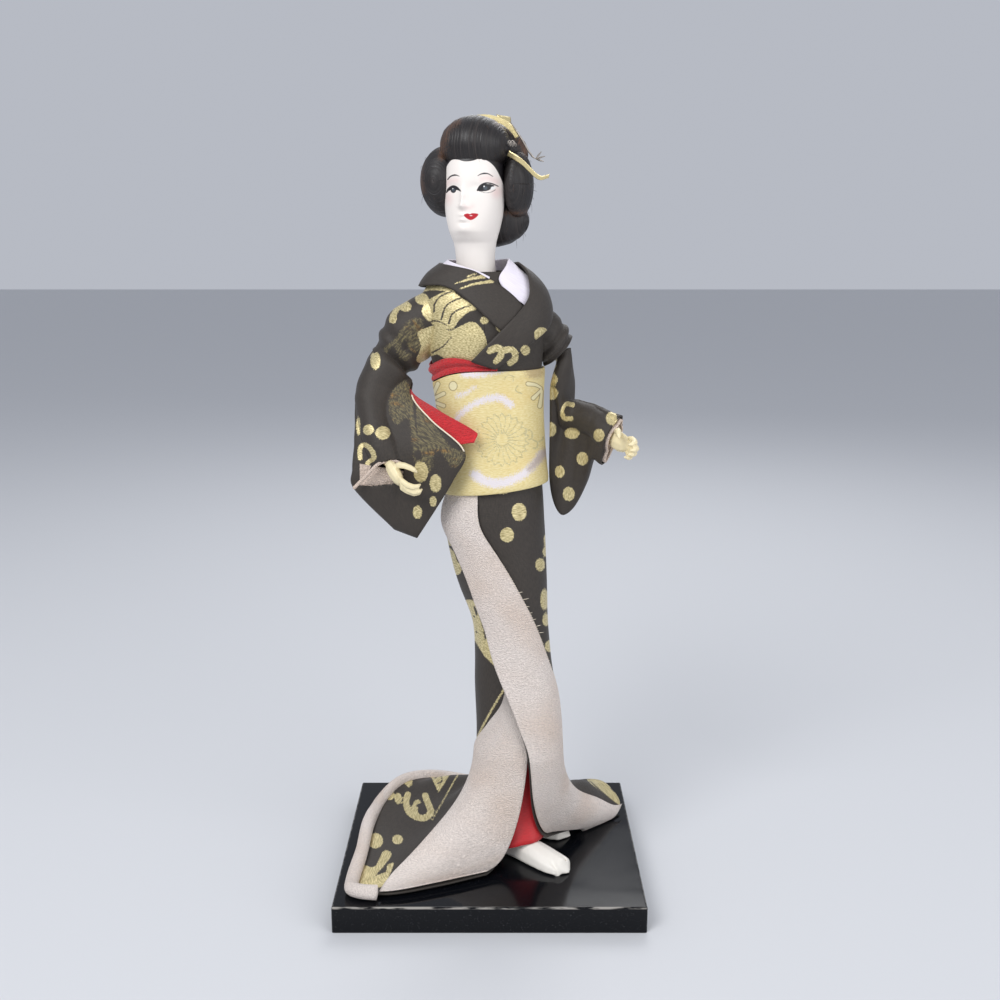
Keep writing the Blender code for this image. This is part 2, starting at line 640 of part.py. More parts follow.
def make_body_core(finish, figure):
    """The padded body under the clothes, with a socket for the neck."""

    def surface(u, v):
        height = CORE_BOTTOM + (CORE_TOP - CORE_BOTTOM) * v
        shape = body_ring(height + CORE_SLOPE * v**6, 360 * u, -core_inset(height))
        shape.z = height
        return shape

    bm = grid_bmesh(surface, 16, 16, closed=True)
    close_ends(bm)
    core = add_object("body_core", bm, finish, figure)
    socket = bmesh.new()
    peg_bottom = scaled(HEAD_ORIGIN).z + HEAD_ROWS[0][0] * MM
    place = Matrix.Translation((0, HEAD_ROWS[0][1] * MM, CORE_TOP - scaled(HEAD_ORIGIN).z))
    bmesh.ops.create_cone(
        socket,
        cap_ends=True,
        segments=16,
        radius1=NECK_PEG_RADIUS + GAP,
        radius2=NECK_PEG_RADIUS + GAP,
        depth=(CORE_TOP - peg_bottom + GAP) * 2,
        matrix=head_frame() @ place,
    )
    boolean(core, add_object("neck_socket", socket, finish, figure), "DIFFERENCE")
    return core


def head_frame():
    """Where the head stands in the figure."""
    return Matrix.Translation(scaled(HEAD_ORIGIN)) @ Matrix.Rotation(math.radians(HEAD_TURN), 4, "Z")


def head_point(turn, height, grow=0.0):
    """A point of the head in its own frame; turn 0 is the face, and height is in millimetres."""
    centre_y, half_width, front, back = interpolated(HEAD_ROWS, height)
    angle = math.tau * turn
    x, ahead = math.sin(angle), math.cos(angle)
    depth = front if ahead > 0 else back
    width = (half_width * MM + grow) * x
    reach = (depth * MM + grow) * ahead
    if ahead > 0:
        for side, up, push, wide, tall in FACE_FORMS:
            form = bump(width / MM, side, wide) * bump(height, up, tall)
            reach += push * MM * form * min(ahead * 2.5, 1)
    return Vector((width, centre_y * MM - reach, height * MM))


def head_bmesh(columns, rows, bottom, grow=0.0):
    """The head and neck as one loft from a bottom height to the crown, grown all round."""
    top = HEAD_ROWS[-1][0]

    def surface(u, v):
        share = 1 - (1 - v) ** 1.25
        height = bottom + (top - bottom) * share
        point = head_point(u, height, grow)
        return point + Vector((0, 0, grow * 2 * (share - 0.5)))

    bm = grid_bmesh(surface, columns, rows, closed=True)
    close_ends(bm)
    return bm


def make_head(finish, figure):
    """The moulded head and neck, with a peg joined on below for the body's socket."""
    shoulder = HEAD_ROWS[2][0]
    head = add_object("head", head_bmesh(20, 23, shoulder), finish, figure)
    peg = bmesh.new()
    low, high = HEAD_ROWS[0][0] * MM, (shoulder + 2) * MM
    bmesh.ops.create_cone(
        peg,
        cap_ends=True,
        segments=12,
        radius1=NECK_PEG_RADIUS,
        radius2=NECK_PEG_RADIUS,
        depth=high - low,
        matrix=Matrix.Translation((0, HEAD_ROWS[0][1] * MM, (low + high) / 2)),
    )
    peg = add_object("neck_peg", peg, finish, figure)
    boolean(head, peg, "UNION")
    for made in (head, peg):
        made.matrix_local = head_frame()
    return head


def make_hair(finishes, figure):
    """The wig's combed forms, each cut to sit on the head and on the forms made before it."""
    guide = add_object("hair_guide", head_bmesh(20, 20, -30.0, 2.5 * GAP), finishes["hair"], figure)
    guide.matrix_local = head_frame()
    cutters = [guide]
    for name, (middle, half_axes) in HAIR_FORMS.items():
        placed = Matrix.Translation(scaled(middle))
        made = {}
        for role, grow in ((name, 0.0), (f"{name}_guide", GAP)):
            bm = bmesh.new()
            axes = Matrix.Diagonal((*(axis * MM + grow for axis in half_axes), 1.0))
            bmesh.ops.create_uvsphere(
                bm, u_segments=12, v_segments=8, radius=1.0, matrix=placed @ axes
            )
            made[role] = add_object(role, bm, finishes["hair"], figure)
            made[role].matrix_local = head_frame()
        for cutter in cutters:
            boolean(made[name], cutter, "DIFFERENCE")
        cutters.append(made[f"{name}_guide"])
        made[f"{name}_guide"].hide_render = True
        made[f"{name}_guide"].display_type = "WIRE"


def make_hair_ornaments(finishes, figure):
    """A bent hairpin strip, a wire spray and an arched comb behind the front roll."""
    path = [(i / (len(HAIRPIN_PATH) - 1), *point) for i, point in enumerate(HAIRPIN_PATH)]

    def strip(u, v):
        point = scaled(interpolated(path, v))
        return point + Vector((0.45, -0.35, 0.82)) * HAIRPIN_HALF_WIDTH * (2 * u - 1) * (1 - 0.35 * v)

    pin = add_object("hairpin", grid_bmesh(strip, 2, 8), finishes["gold"], figure)
    solidify(pin, HAIRPIN_THICKNESS)
    stem = [scaled(point) for point in WIRE_SPRAY_STEM]
    tip = stem[-1]
    spray = add_object(
        "wire_spray", tube_bmesh(stem, [WIRE_SPRAY_RADIUS] * 4, 5, 5), finishes["silver"], figure
    )
    petals = []
    for index, point in enumerate(WIRE_SPRAY_LOOPS):
        bar = tube_bmesh(
            (tip, tip.lerp(scaled(point), 0.5), scaled(point)), [WIRE_SPRAY_RADIUS * 0.9] * 3, 5, 2
        )
        petal = add_object(f"wire_spray_petal_{index}", bar, finishes["silver"], figure)
        boolean(spray, petal, "UNION")
        petals.append(petal)

    def arch(u, v):
        angle = math.radians(COMB_ANGLES[0] + (COMB_ANGLES[1] - COMB_ANGLES[0]) * u)
        wide, tall = (half * MM + COMB_WIDTH * (v - 0.5) for half in COMB_HALF_AXES)
        return scaled(COMB_MIDDLE) + Vector((math.cos(angle) * wide, 0, math.sin(angle) * tall))

    comb = add_object("hair_comb", grid_bmesh(arch, 10, 1), finishes["gold"], figure)
    solidify(comb, COMB_THICKNESS)
    for made in (pin, spray, comb, *petals):
        made.matrix_local = head_frame()


def capsule_bmesh(start, end, start_radius, end_radius, run_on=0.0):
    """A tapered bar between two points, run on past its end."""
    start, end = Vector(start), Vector(end)
    past = end + (end - start).normalized() * run_on
    middle = (start + past) / 2
    radii = (start_radius, (start_radius + end_radius) / 2, end_radius)
    return tube_bmesh((start, middle, past), radii, 12, 6)


def make_bodice(finish, figure):
    """The kimono's body and upper arms as one thin shell, open at the neck, hem and elbows."""

    def hull(name, inset, low, high):
        def surface(u, v):
            height = low + (high - low) * (1 - (1 - v) ** 1.7)
            return body_ring(height, 360 * u, -inset)

        bm = grid_bmesh(surface, 18, 11, closed=True)
        close_ends(bm)
        made = add_object(name, bm, finish, figure)
        for side, arm in (("right", RIGHT_UPPER_ARM), ("left", LEFT_UPPER_ARM)):
            start, end, start_radius, end_radius = arm
            bar = capsule_bmesh(
                scaled(start), scaled(end), start_radius * MM - inset, end_radius * MM - inset, inset * 4
            )
            boolean(made, add_object(f"{name}_{side}_arm", bar, finish, figure), "UNION")
        return made

    bodice = hull("kimono_bodice", 0.0, BODICE_BOTTOM, NECK_HEIGHT)
    inside = hull("bodice_inside", KIMONO_CLOTH, BODICE_BOTTOM - MM, NECK_HEIGHT + MM)
    boolean(bodice, inside, "DIFFERENCE")
    opening = prism_bmesh(NECK_OPENING, *NECK_OPENING_DEPTHS)
    boolean(bodice, add_object("neck_opening", opening, finish, figure), "DIFFERENCE")
    return bodice


def sleeve_point(rows, through, around, along, inset=0.0):
    """A sleeve's surface: round the arm and out to a flat hanging bag, from the elbow to the mouth."""

    def edges(share):
        flat = [(row[0], *row[1], *row[2], *row[3:]) for row in rows]
        found = interpolated(flat, share)
        return scaled(found[0:3]), scaled(found[3:6]), *(value * MM for value in found[6:])

    arm, hang, arm_place, arm_radius, bag = edges(along)
    down = hang - arm
    length = down.length
    down.normalize()
    through = Vector(through)
    flat_side = (through - down * through.dot(down)).normalized()
    angle = math.tau * around
    place = length * (1 + math.cos(angle)) / 2
    round_arm = math.sqrt(max(arm_radius**2 - (place - arm_place) ** 2, 0))
    flat_bag = bag * abs(math.sin(angle)) ** 0.6
    thick = (round_arm**3 + flat_bag**3) ** (1 / 3)
    thick = max(thick - inset, 0) * min(1, abs(math.sin(angle)) * 4)
    place = inset + (length - 2 * inset) * place / length
    return arm + down * place + flat_side * math.copysign(thick, math.sin(angle))


def on_outline(x, height, outline):
    """The point of a closed outline nearest to a point, and whether the point lies inside it."""
    place = Vector((x, height))
    nearest, inside = None, False
    for a, b in zip(outline, outline[1:] + outline[:1]):
        start, way = Vector(a), Vector(b) - Vector(a)
        along = min(max((place - start).dot(way) / way.length_squared, 0), 1)
        found = start + way * along
        if nearest is None or (found - place).length < (nearest - place).length:
            nearest = found
        if (a[1] > height) != (b[1] > height):
            inside ^= x < a[0] + (height - a[1]) * (b[0] - a[0]) / (b[1] - a[1])
    return nearest, inside


def cut_mouth(bm, through):
    """Opens the front of a sleeve inside the mouth's outline, and lays its edge on the outline."""
    bmesh.ops.recalc_face_normals(bm, faces=bm.faces)
    within = []
    for face in bm.faces:
        middle = face.calc_center_median() / MM
        if face.normal.dot(Vector(through)) < 0 and on_outline(middle.x, middle.z, SLEEVE_MOUTH)[1]:
            within.append(face)
    rim = {edge for face in within for edge in face.edges if any(f not in within for f in edge.link_faces)}
    corners = {vert for edge in rim for vert in edge.verts}
    bmesh.ops.delete(bm, geom=within, context="FACES")
    for vert in corners:
        nearest = on_outline(vert.co.x / MM, vert.co.z / MM, SLEEVE_MOUTH)[0] * MM
        vert.co.x, vert.co.z = nearest


def make_sleeve(name, rows, through, slit_until, fold_from, finish, figure):
    """A kimono sleeve, open at its hanging edge down to the slit's end. One with a fold is shut at
    the bottom, with its mouth in front."""
    folded = fold_from < 1

    def surface(u, v):
        slit = SLEEVE_SLIT * min(max((slit_until - v) / 0.06, 0), 1)
        around = slit + (1 - 2 * slit) * u
        point = sleeve_point(rows, through, around, v)
        if folded and v > fold_from:
            shut = sleeve_point(rows, through, 1 - around, v)
            close = min((v - fold_from) / (1 - fold_from), 1)
            point = point.lerp((point + shut) / 2, 1 - math.sqrt(max(1 - close**2, 0)))
        return point

    columns = MOUTH_SLEEVE_COLUMNS if folded else SLEEVE_COLUMNS
    bm = grid_bmesh(surface, columns, MOUTH_SLEEVE_ROWS if folded else SLEEVE_ROWS)
    bmesh.ops.remove_doubles(bm, verts=bm.verts, dist=1e-6)
    if folded:
        cut_mouth(bm, through)
    return solidify(add_object(name, bm, finish, figure), KIMONO_CLOTH)


def make_left_cuff(rows, through, finish, figure):
    """The lining that shows inside the left sleeve's mouth."""
    inset = KIMONO_CLOTH / 2 + 1.55 * GAP + LINING_CLOTH / 2
    way = (scaled(rows[-1][1]) - scaled(rows[-2][1])).normalized()

    def surface(u, v):
        point = sleeve_point(rows, through, u, CUFF_SHARE + (1 - CUFF_SHARE) * v, inset)
        return point + way * CUFF_PROUD * v**12

    bm = grid_bmesh(surface, 18, 2, closed=True)
    return solidify(add_object("left_cuff_lining", bm, finish, figure), LINING_CLOTH)


def make_right_cuff(finish, figure):
    """The lining that shows inside the right sleeve's mouth, behind the hand."""

    def surface(u, v):
        x = SLEEVE_MOUTH[0][0] + 3.2 + (SLEEVE_MOUTH[5][0] - SLEEVE_MOUTH[0][0] - 6.0) * u
        height = 173.8 + (7.0 - 2.5 * u) * v
        return scaled((x, -16.5 - 1.4 * u - 0.3 * math.sin(math.pi * v), height))

    made = add_object("right_cuff_lining", grid_bmesh(surface, 5, 3), finish, figure)
    return solidify(made, LINING_CLOTH)


def make_red_sleeve(rows, finish, figure):
    """The red under-sleeve that shows through the slit of the right sleeve."""
    start, end = 0.12, SLEEVE_OPEN_SHARE - 0.06

    def surface(u, v):
        share = start + (end - start) * v
        flat = [(row[0], *row[1], *row[2]) for row in rows]
        found = interpolated(flat, share)
        arm, hang = scaled(found[0:3]), scaled(found[3:6])
        down = (hang - arm).normalized()
        inner = arm.lerp(hang, 0.62)
        outer = hang + down * RED_SLEEVE_PROUD * v**0.9 - down * MM * (1 - v)
        return inner.lerp(outer, u)

    made = add_object("red_under_sleeve", grid_bmesh(surface, 4, 6), finish, figure)
    return solidify(made, LINING_CLOTH)


def hand_parts(mirror):
    """Palm, fingers and thumb of a relaxed hand that points down, as bmeshes; its palm faces +X."""
    palm = bmesh.new()
    axes = Matrix.Diagonal((*(axis * MM for axis in PALM_HALF_AXES), 1.0))
    bmesh.ops.create_uvsphere(
        palm, u_segments=8, v_segments=6, radius=1.0, matrix=Matrix.Translation(scaled(PALM_MIDDLE)) @ axes
    )
    parts = [palm]
    for across, reach in zip(FINGER_SPREAD, FINGER_REACH):
        points = (
            (0.4, across, -9.0),
            (1.0, across * 1.02, -12.6 * reach),
            (3.4, across * 0.95, -15.4 * reach),
            (6.0, across * 0.85, -15.0 * reach),
        )
        radii = [FINGER_RADIUS] * 3 + [FINGER_TIP_RADIUS]
        parts.append(tube_bmesh([scaled(p) for p in points], radii, 5, 5))
    thumb = ((1.0, -2.6, -3.6), (3.2, -4.8, -6.2), (5.4, -4.9, -9.0), (6.8, -3.8, -11.0))
    radii = [FINGER_RADIUS * 1.25, FINGER_RADIUS * 1.15, FINGER_RADIUS, FINGER_TIP_RADIUS]
    parts.append(tube_bmesh([scaled(p) for p in thumb], radii, 5, 5))
    if mirror:
        for bm in parts:
            bmesh.ops.scale(bm, verts=bm.verts, vec=(-1, 1, 1))
            bmesh.ops.reverse_faces(bm, faces=bm.faces)
    return parts


def make_forearm(name, arm, turn, mirror, finish, figure):
    """A moulded forearm and hand, joined to one solid."""
    elbow, middle, wrist, wrist_radius, elbow_radius = arm
    elbow, middle, wrist = scaled(elbow), scaled(middle), scaled(wrist)
    bar = tube_bmesh(
        (elbow, middle, wrist + (wrist - middle).normalized() * 2 * MM),
        (elbow_radius * MM, wrist_radius * MM, wrist_radius * MM * 0.85),
        10,
        5,
    )
    forearm = add_object(name, bar, finish, figure)
    angles = [math.radians(angle) for angle in turn]
    place = (
        Matrix.Translation(wrist)
        @ Matrix.Rotation(angles[2], 4, "Z")
        @ Matrix.Rotation(angles[1], 4, "Y")
        @ Matrix.Rotation(-angles[0], 4, "X")
    )
    for index, bm in enumerate(hand_parts(mirror)):
        bmesh.ops.scale(bm, verts=bm.verts, vec=(HAND_SCALE,) * 3)
        bmesh.ops.transform(bm, verts=bm.verts, matrix=place)
        boolean(forearm, add_object(f"{name}_hand_{index}", bm, finish, figure), "UNION")
    return forearm


def make_arm_wire(name, path, forearm, finish, figure):
    """The wire inside a sleeve, from the padded shoulder to the forearm."""
    hand_end, beyond = scaled(forearm[0]), scaled(forearm[1])
    stop = hand_end - (beyond - hand_end).normalized() * GAP
    points = [scaled(point) for point in path] + [stop]
    return add_object(name, tube_bmesh(points, [WIRE_RADIUS] * len(points), 6, 8), finish, figure)


def make_skirt(finishes, figure):
    """The wrapped skirt with its train, its two turned-out lining bands and the padded hem roll."""
    cloth = split_grid(skirt_point, SKIRT_COLUMNS, SKIRT_ROWS)
    solidify(add_object("kimono_skirt", cloth, finishes["brocade"], figure), KIMONO_CLOTH)
    band_out = KIMONO_CLOTH / 2 + 1.6 * GAP + LINING_CLOTH / 2
    top_share = KNEE_SHARE * (SKIRT_TOP - SASH_BOTTOM + 2 * GAP) / (SKIRT_TOP - KNEE_HEIGHT)

    def on_column(share, edge):
        return edge if abs(share - edge) < 0.3 / SKIRT_COLUMNS else share

    def upper_band(u, v):
        down = max((1 + (SKIRT_ROWS - 1) * v) / SKIRT_ROWS, top_share)
        inner = interpolated(SKIRT_EDGES, down)[3]
        share = max(1 - (1 - u) * BAND_COLUMNS / SKIRT_COLUMNS, inner)
        return skirt_outside(on_column(share, inner), down, band_out)

    def lower_band(u, v):
        down = 1 - UNDER_BAND_ROWS / SKIRT_ROWS * (1 - v)
        outer = interpolated(SKIRT_EDGES, down)[2]
        share = min(u * BAND_COLUMNS / SKIRT_COLUMNS, outer)
        return skirt_outside(on_column(share, outer), down, band_out)

    for name, surface, rows in (
        ("upper_lining_band", upper_band, SKIRT_ROWS - 1),
        ("lower_lining_band", lower_band, UNDER_BAND_ROWS),
    ):
        band = add_object(name, split_grid(surface, BAND_COLUMNS, rows), finishes["crepe"], figure)
        solidify(band, LINING_CLOTH)
    first, last = HEM_ROLL_COLUMNS
    points = []
    for column in range(first, last + 1):
        share = column / SKIRT_COLUMNS
        hem = skirt_point(share, 1)
        outward = (hem - skirt_point(share, 0.97)).normalized()
        hem += outward * (HEM_ROLL_RADIUS + 5 * GAP)
        hem.z = max(hem.z, HEM_ROLL_RADIUS + SEAT)
        points.append(hem)
    roll = tube_bmesh(points, [HEM_ROLL_RADIUS] * len(points), 7, last - first)
    add_object("hem_roll", roll, finishes["crepe"], figure)


def make_underskirt(finish, figure):
    """The red underskirt that shows between the lining bands."""
    low, high = UNDERSKIRT_ROWS[0][0], UNDERSKIRT_ROWS[-1][0]

    def surface(u, v):
        height = low + (high - low) * v
        centre_x, centre_y, half_width, half_depth = interpolated(UNDERSKIRT_ROWS, height)
        angle = math.tau * u
        return scaled(
            (centre_x - half_width * math.sin(angle), centre_y - half_depth * math.cos(angle), height)
        )

    made = add_object("red_underskirt", grid_bmesh(surface, 20, 5, closed=True), finish, figure)
    return solidify(made, UNDERSKIRT_CLOTH)


def sash_top(azimuth):
    """Height of the sash's top edge, which dips at the doll's right."""
    return SASH_TOP - SASH_TOP_DIP * bump_around(azimuth, 85, 42)


def sash_bottom(azimuth):
    """Height of the sash's bottom edge, which rises at the doll's left."""
    return SASH_BOTTOM + SASH_BOTTOM_RISE * (1 - math.cos(math.radians(azimuth - 90))) / 2


def make_sash(finishes, figure):
    """The stiff sash, the red scarf above it, and the drum bow with its tail and pillow."""
    grow = 2 * GAP + SASH_CLOTH / 2

    def band(u, v):
        azimuth = 360 * u
        low, high = sash_bottom(azimuth), sash_top(azimuth)
        height = low + (high - low) * v
        return body_ring(height, azimuth, grow)

    sash = add_object("sash", grid_bmesh(band, 24, 5, closed=True), finishes["gold_brocade"], figure)
    solidify(sash, SASH_CLOTH)

    def scarf(u, v):
        azimuth = SCARF_AZIMUTHS[0] + (SCARF_AZIMUTHS[1] - SCARF_AZIMUTHS[0]) * u
        tall = SCARF_HEIGHT * (0.12 + 0.88 * math.sin(math.pi / 2 * min(u * 4, 1))) * min((1 - u) * 5 + 0.2, 1)
        height = sash_top(azimuth) + 1.6 * GAP + tall * v
        return body_ring(height, azimuth, 2 * GAP + 0.6 * MM + 0.5 * MM * math.sin(math.pi * v))

    made = add_object("red_scarf", grid_bmesh(scarf, 24, 3), finishes["red"], figure)
    solidify(made, LINING_CLOTH)

    back = body_ring(BOW_BOTTOM + BOW_HEIGHT / 2, 180, 2 * GAP + SASH_CLOTH).y + 2 * GAP
    middle_x = body_ring(BOW_BOTTOM + BOW_HEIGHT / 2, 180).x
    bm = bmesh.new()
    size = Matrix.Diagonal((BOW_WIDTH, BOW_DEPTH, BOW_HEIGHT, 1.0))
    place = Matrix.Translation((middle_x, back + BOW_DEPTH / 2, BOW_BOTTOM + BOW_HEIGHT / 2))
    bmesh.ops.create_cube(bm, size=1.0, matrix=place @ size)
    bmesh.ops.bevel(
        bm, geom=bm.edges[:], offset=BOW_DEPTH * 0.36, segments=3, profile=0.5, affect="EDGES", material=-1
    )
    add_object("sash_bow", bm, finishes["gold_brocade"], figure)
    tail = bmesh.new()
    tail_top = BOW_BOTTOM - GAP
    size = Matrix.Diagonal((BOW_TAIL_WIDTH, BOW_DEPTH * 0.3, BOW_TAIL_DROP, 1.0))
    place = Matrix.Translation((middle_x, back + BOW_DEPTH * 0.45, tail_top - BOW_TAIL_DROP / 2))
    bmesh.ops.create_cube(tail, size=1.0, matrix=place @ size)
    bmesh.ops.bevel(
        tail, geom=tail.edges[:], offset=0.5 * MM, segments=1, profile=0.5, affect="EDGES", material=-1
    )
    add_object("sash_tail", tail, finishes["gold_brocade"], figure)
    pillow_z = BOW_BOTTOM + BOW_HEIGHT + GAP + BOW_PILLOW_RADIUS
    pillow_y = body_ring(pillow_z, 180, BOW_PILLOW_RADIUS + GAP * 6 + LINING_CLOTH).y
    half = BOW_WIDTH * 0.42
    pillow = tube_bmesh(
        (
            Vector((middle_x - half, pillow_y, pillow_z)),
            Vector((middle_x, pillow_y + MM, pillow_z)),
            Vector((middle_x + half, pillow_y, pillow_z)),
        ),
        (BOW_PILLOW_RADIUS * 0.8, BOW_PILLOW_RADIUS, BOW_PILLOW_RADIUS * 0.8),
        12,
        10,
    )
    add_object("bow_pillow", pillow, finishes["red"], figure)


def body_outside(azimuth, height, distance):
    """A point that far outside the dressed body's surface."""
    step = 0.6
    around = body_ring(height, azimuth + step) - body_ring(height, azimuth - step)
    rise = body_ring(height + step * MM, azimuth) - body_ring(height - step * MM, azimuth)
    return body_ring(height, azimuth) + rise.cross(around).normalized() * distance


def make_collar(name, rows, columns, thickness, finish, figure):
    """A strip laid round the neck and over itself on the chest."""

    def surface(u, v):
        outer_azimuth, outer_height, inner_azimuth, inner_height, out = interpolated(rows, v)
        azimuth = outer_azimuth + (inner_azimuth - outer_azimuth) * u
        height = outer_height + (inner_height - outer_height) * u
        return body_outside(azimuth, height * MM, out * MM)

    made = add_object(name, grid_bmesh(surface, 3, columns), finish, figure)
    return solidify(made, thickness)


def clear_scene():
    """Removes what the scene holds."""
    for old in list(bpy.data.objects):
        bpy.data.objects.remove(old)


def main():
    """Builds the doll."""
    clear_scene()
    finishes = {
        "lacquer": material("black lacquer", (0.006, 0.006, 0.008), 0.08),
        "brocade": material("dark brocade", (0.055, 0.045, 0.038), 0.7),
        "gold_brocade": material("pale gold brocade", (0.72, 0.60, 0.30), 0.45, 0.3),
        "crepe": material("pale crepe", (0.80, 0.68, 0.62), 0.85),
        "cream": material("cream lining", (0.62, 0.53, 0.44), 0.85),
        "red": material("red cloth", (0.55, 0.01, 0.015), 0.7),
        "skin": material("white face", (0.86, 0.83, 0.79), 0.45),
        "white": material("white under-collar", (0.80, 0.72, 0.82), 0.8),
        "hand": material("ivory hand", (0.80, 0.70, 0.48), 0.45),
        "tabi": material("white foot", (0.85, 0.82, 0.76), 0.4),
        "hair": material("black fibre", (0.012, 0.009, 0.009), 0.5),
        "gold": material("gold paper", (0.75, 0.65, 0.32), 0.35, 0.8),
        "silver": material("silver wire", (0.5, 0.45, 0.40), 0.4, 0.9),
        "wire": material("steel wire", (0.35, 0.34, 0.33), 0.4, 1.0),
        "padding": material("wound padding", (0.60, 0.53, 0.42), 0.9),
    }
    figure = bpy.data.objects.new("figure", None)
    bpy.context.scene.collection.objects.link(figure)
    figure.location = (0, 0, PLINTH_HEIGHT)
    make_plinth(finishes["lacquer"])
    make_leg("front_leg", FRONT_ANKLE, FRONT_KNEE, FRONT_HIP, FRONT_FOOT_TURN, finishes["tabi"], figure)
    make_leg("rear_leg", REAR_ANKLE, REAR_KNEE, REAR_HIP, REAR_FOOT_TURN, finishes["tabi"], figure)
    make_leg_wire("front_leg_wire", FRONT_ANKLE, finishes["wire"], figure)
    make_leg_wire("rear_leg_wire", REAR_ANKLE, finishes["wire"], figure)
    make_body_core(finishes["padding"], figure)
    make_head(finishes["skin"], figure)
    make_hair(finishes, figure)
    make_hair_ornaments(finishes, figure)
    make_bodice(finishes["brocade"], figure)
    make_collar("kimono_collar", COLLAR_ROWS, 26, KIMONO_CLOTH, finishes["brocade"], figure)
    make_collar("under_collar", UNDER_COLLAR_ROWS, 18, LINING_CLOTH, finishes["white"], figure)
    make_sleeve(
        "right_sleeve",
        RIGHT_SLEEVE_ROWS,
        RIGHT_SLEEVE_THROUGH,
        SLEEVE_OPEN_SHARE,
        SLEEVE_FOLD_SHARE,
        finishes["brocade"],
        figure,
    )
    make_sleeve(
        "left_sleeve", LEFT_SLEEVE_ROWS, LEFT_SLEEVE_THROUGH, 0.0, 2.0, finishes["brocade"], figure
    )
    make_right_cuff(finishes["cream"], figure)
    make_left_cuff(LEFT_SLEEVE_ROWS, LEFT_SLEEVE_THROUGH, finishes["cream"], figure)
    make_red_sleeve(RIGHT_SLEEVE_ROWS, finishes["red"], figure)
    make_forearm("right_forearm", RIGHT_FOREARM, RIGHT_HAND_TURN, False, finishes["hand"], figure)
    make_forearm("left_forearm", LEFT_FOREARM, LEFT_HAND_TURN, True, finishes["hand"], figure)
    make_arm_wire("right_arm_wire", RIGHT_WIRE_PATH, RIGHT_FOREARM, finishes["wire"], figure)
    make_arm_wire("left_arm_wire", LEFT_WIRE_PATH, LEFT_FOREARM, finishes["wire"], figure)
    make_skirt(finishes, figure)
    make_underskirt(finishes["red"], figure)
    make_sash(finishes, figure)


main()
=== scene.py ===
"""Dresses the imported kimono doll: woven and crinkled cloth, a painted face, combed hair and a studio.

Heights of the figure count from the top of the plinth. Figures woven or painted on a piece are drawn
as they are seen from the front, in thousandths of the picture's side, on small drawing sheets that
have their own corner and scale. Each piece carries them as distances from their edges.
"""

import logging
import math
from collections.abc import Callable, Sequence
from dataclasses import dataclass
from enum import Enum

import bmesh
import bpy
import numpy as np
from mathutils import Matrix, Vector, noise

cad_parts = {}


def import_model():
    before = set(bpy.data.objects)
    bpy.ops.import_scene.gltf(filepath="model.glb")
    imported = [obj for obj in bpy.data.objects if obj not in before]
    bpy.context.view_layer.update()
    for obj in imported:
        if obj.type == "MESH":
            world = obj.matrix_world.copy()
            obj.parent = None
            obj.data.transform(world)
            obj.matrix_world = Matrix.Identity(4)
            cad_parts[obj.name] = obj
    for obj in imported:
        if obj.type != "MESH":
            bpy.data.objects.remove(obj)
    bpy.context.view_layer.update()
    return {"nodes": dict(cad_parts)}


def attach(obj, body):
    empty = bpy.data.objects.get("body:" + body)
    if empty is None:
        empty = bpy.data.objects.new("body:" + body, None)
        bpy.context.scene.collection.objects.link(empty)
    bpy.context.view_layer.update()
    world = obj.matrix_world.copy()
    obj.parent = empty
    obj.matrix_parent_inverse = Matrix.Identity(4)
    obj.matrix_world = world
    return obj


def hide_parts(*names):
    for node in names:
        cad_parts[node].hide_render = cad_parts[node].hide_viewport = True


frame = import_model()

LOG = logging.getLogger("kimono_doll")

Piece = bpy.types.Object
Mesh = bmesh.types.BMesh
Material = bpy.types.Material
Socket = bpy.types.NodeSocket
Surface = Callable[[float, float], Vector]
Rows = Sequence[Sequence[float]]
Colour = tuple[float, float, float]

MM = 0.001
FIGURE_BASE = 12.0 * MM

# Where the picture is seen from, how far it looks down and how near, in thousandths of the picture
EYE = (0.0045, -0.5008, 0.2909)
EYE_PITCH = math.radians(12.85)
EYE_FOCUS = 1160.0
PICTURE_MIDDLE = 500.0
PICTURE_PER_MM = 2.4
SENSOR_WIDTH = 36.0

# Cloth thicknesses
KIMONO_CLOTH = 0.8 * MM
LINING_CLOTH = 0.6 * MM
SASH_CLOTH = 1.1 * MM
GAP = 0.35 * MM
SEAT = 0.3 * MM

# Outer surface of the dressed body: height, centre x, centre y, half width, half depth (mm)
BODY_ROWS = (
    (48, 11.8, -3.0, 21.0, 17.5),
    (60, 11.6, -3.0, 20.7, 17.0),
    (80, 10.6, -2.5, 20.2, 16.5),
    (94, 9.9, -2.0, 19.1, 16.0),
    (109, 9.2, -1.5, 18.4, 16.5),
    (123, 7.2, -1.0, 19.8, 17.5),
    (144, 4.2, 0.0, 22.0, 18.5),
    (157, 1.8, 0.0, 23.7, 18.5),
    (170, 2.4, 0.0, 22.3, 17.5),
    (190, 1.0, 0.0, 21.6, 16.2),
    (208, 0.0, 0.0, 21.8, 15.8),
    (224, -1.0, 0.0, 23.2, 16.5),
    (236, -1.6, 0.0, 25.0, 18.0),
    (246, -2.2, 0.0, 26.0, 17.0),
    (254, -3.4, 0.0, 24.8, 14.5),
    (260, -4.0, 0.5, 20.5, 12.5),
    (265, -4.2, 1.0, 14.5, 11.0),
    (269, -4.3, 1.0, 11.2, 10.6),
    (280, -4.4, 1.8, 10.9, 10.9),
)

# Heights of the garments' edges, how far they dip and rise, and the step of the skirt's lap (mm)
KNEE_HEIGHT = 48.0
SKIRT_TOP = 190.0
BODICE_BOTTOM = 192.5
NECK_HEIGHT = 264.0
SASH_TOP = 223.5
SASH_TOP_DIP = 6.0
SASH_BOTTOM = 169.0
SASH_BOTTOM_RISE = 5.0
SKIRT_LAP_STEP = 4.0

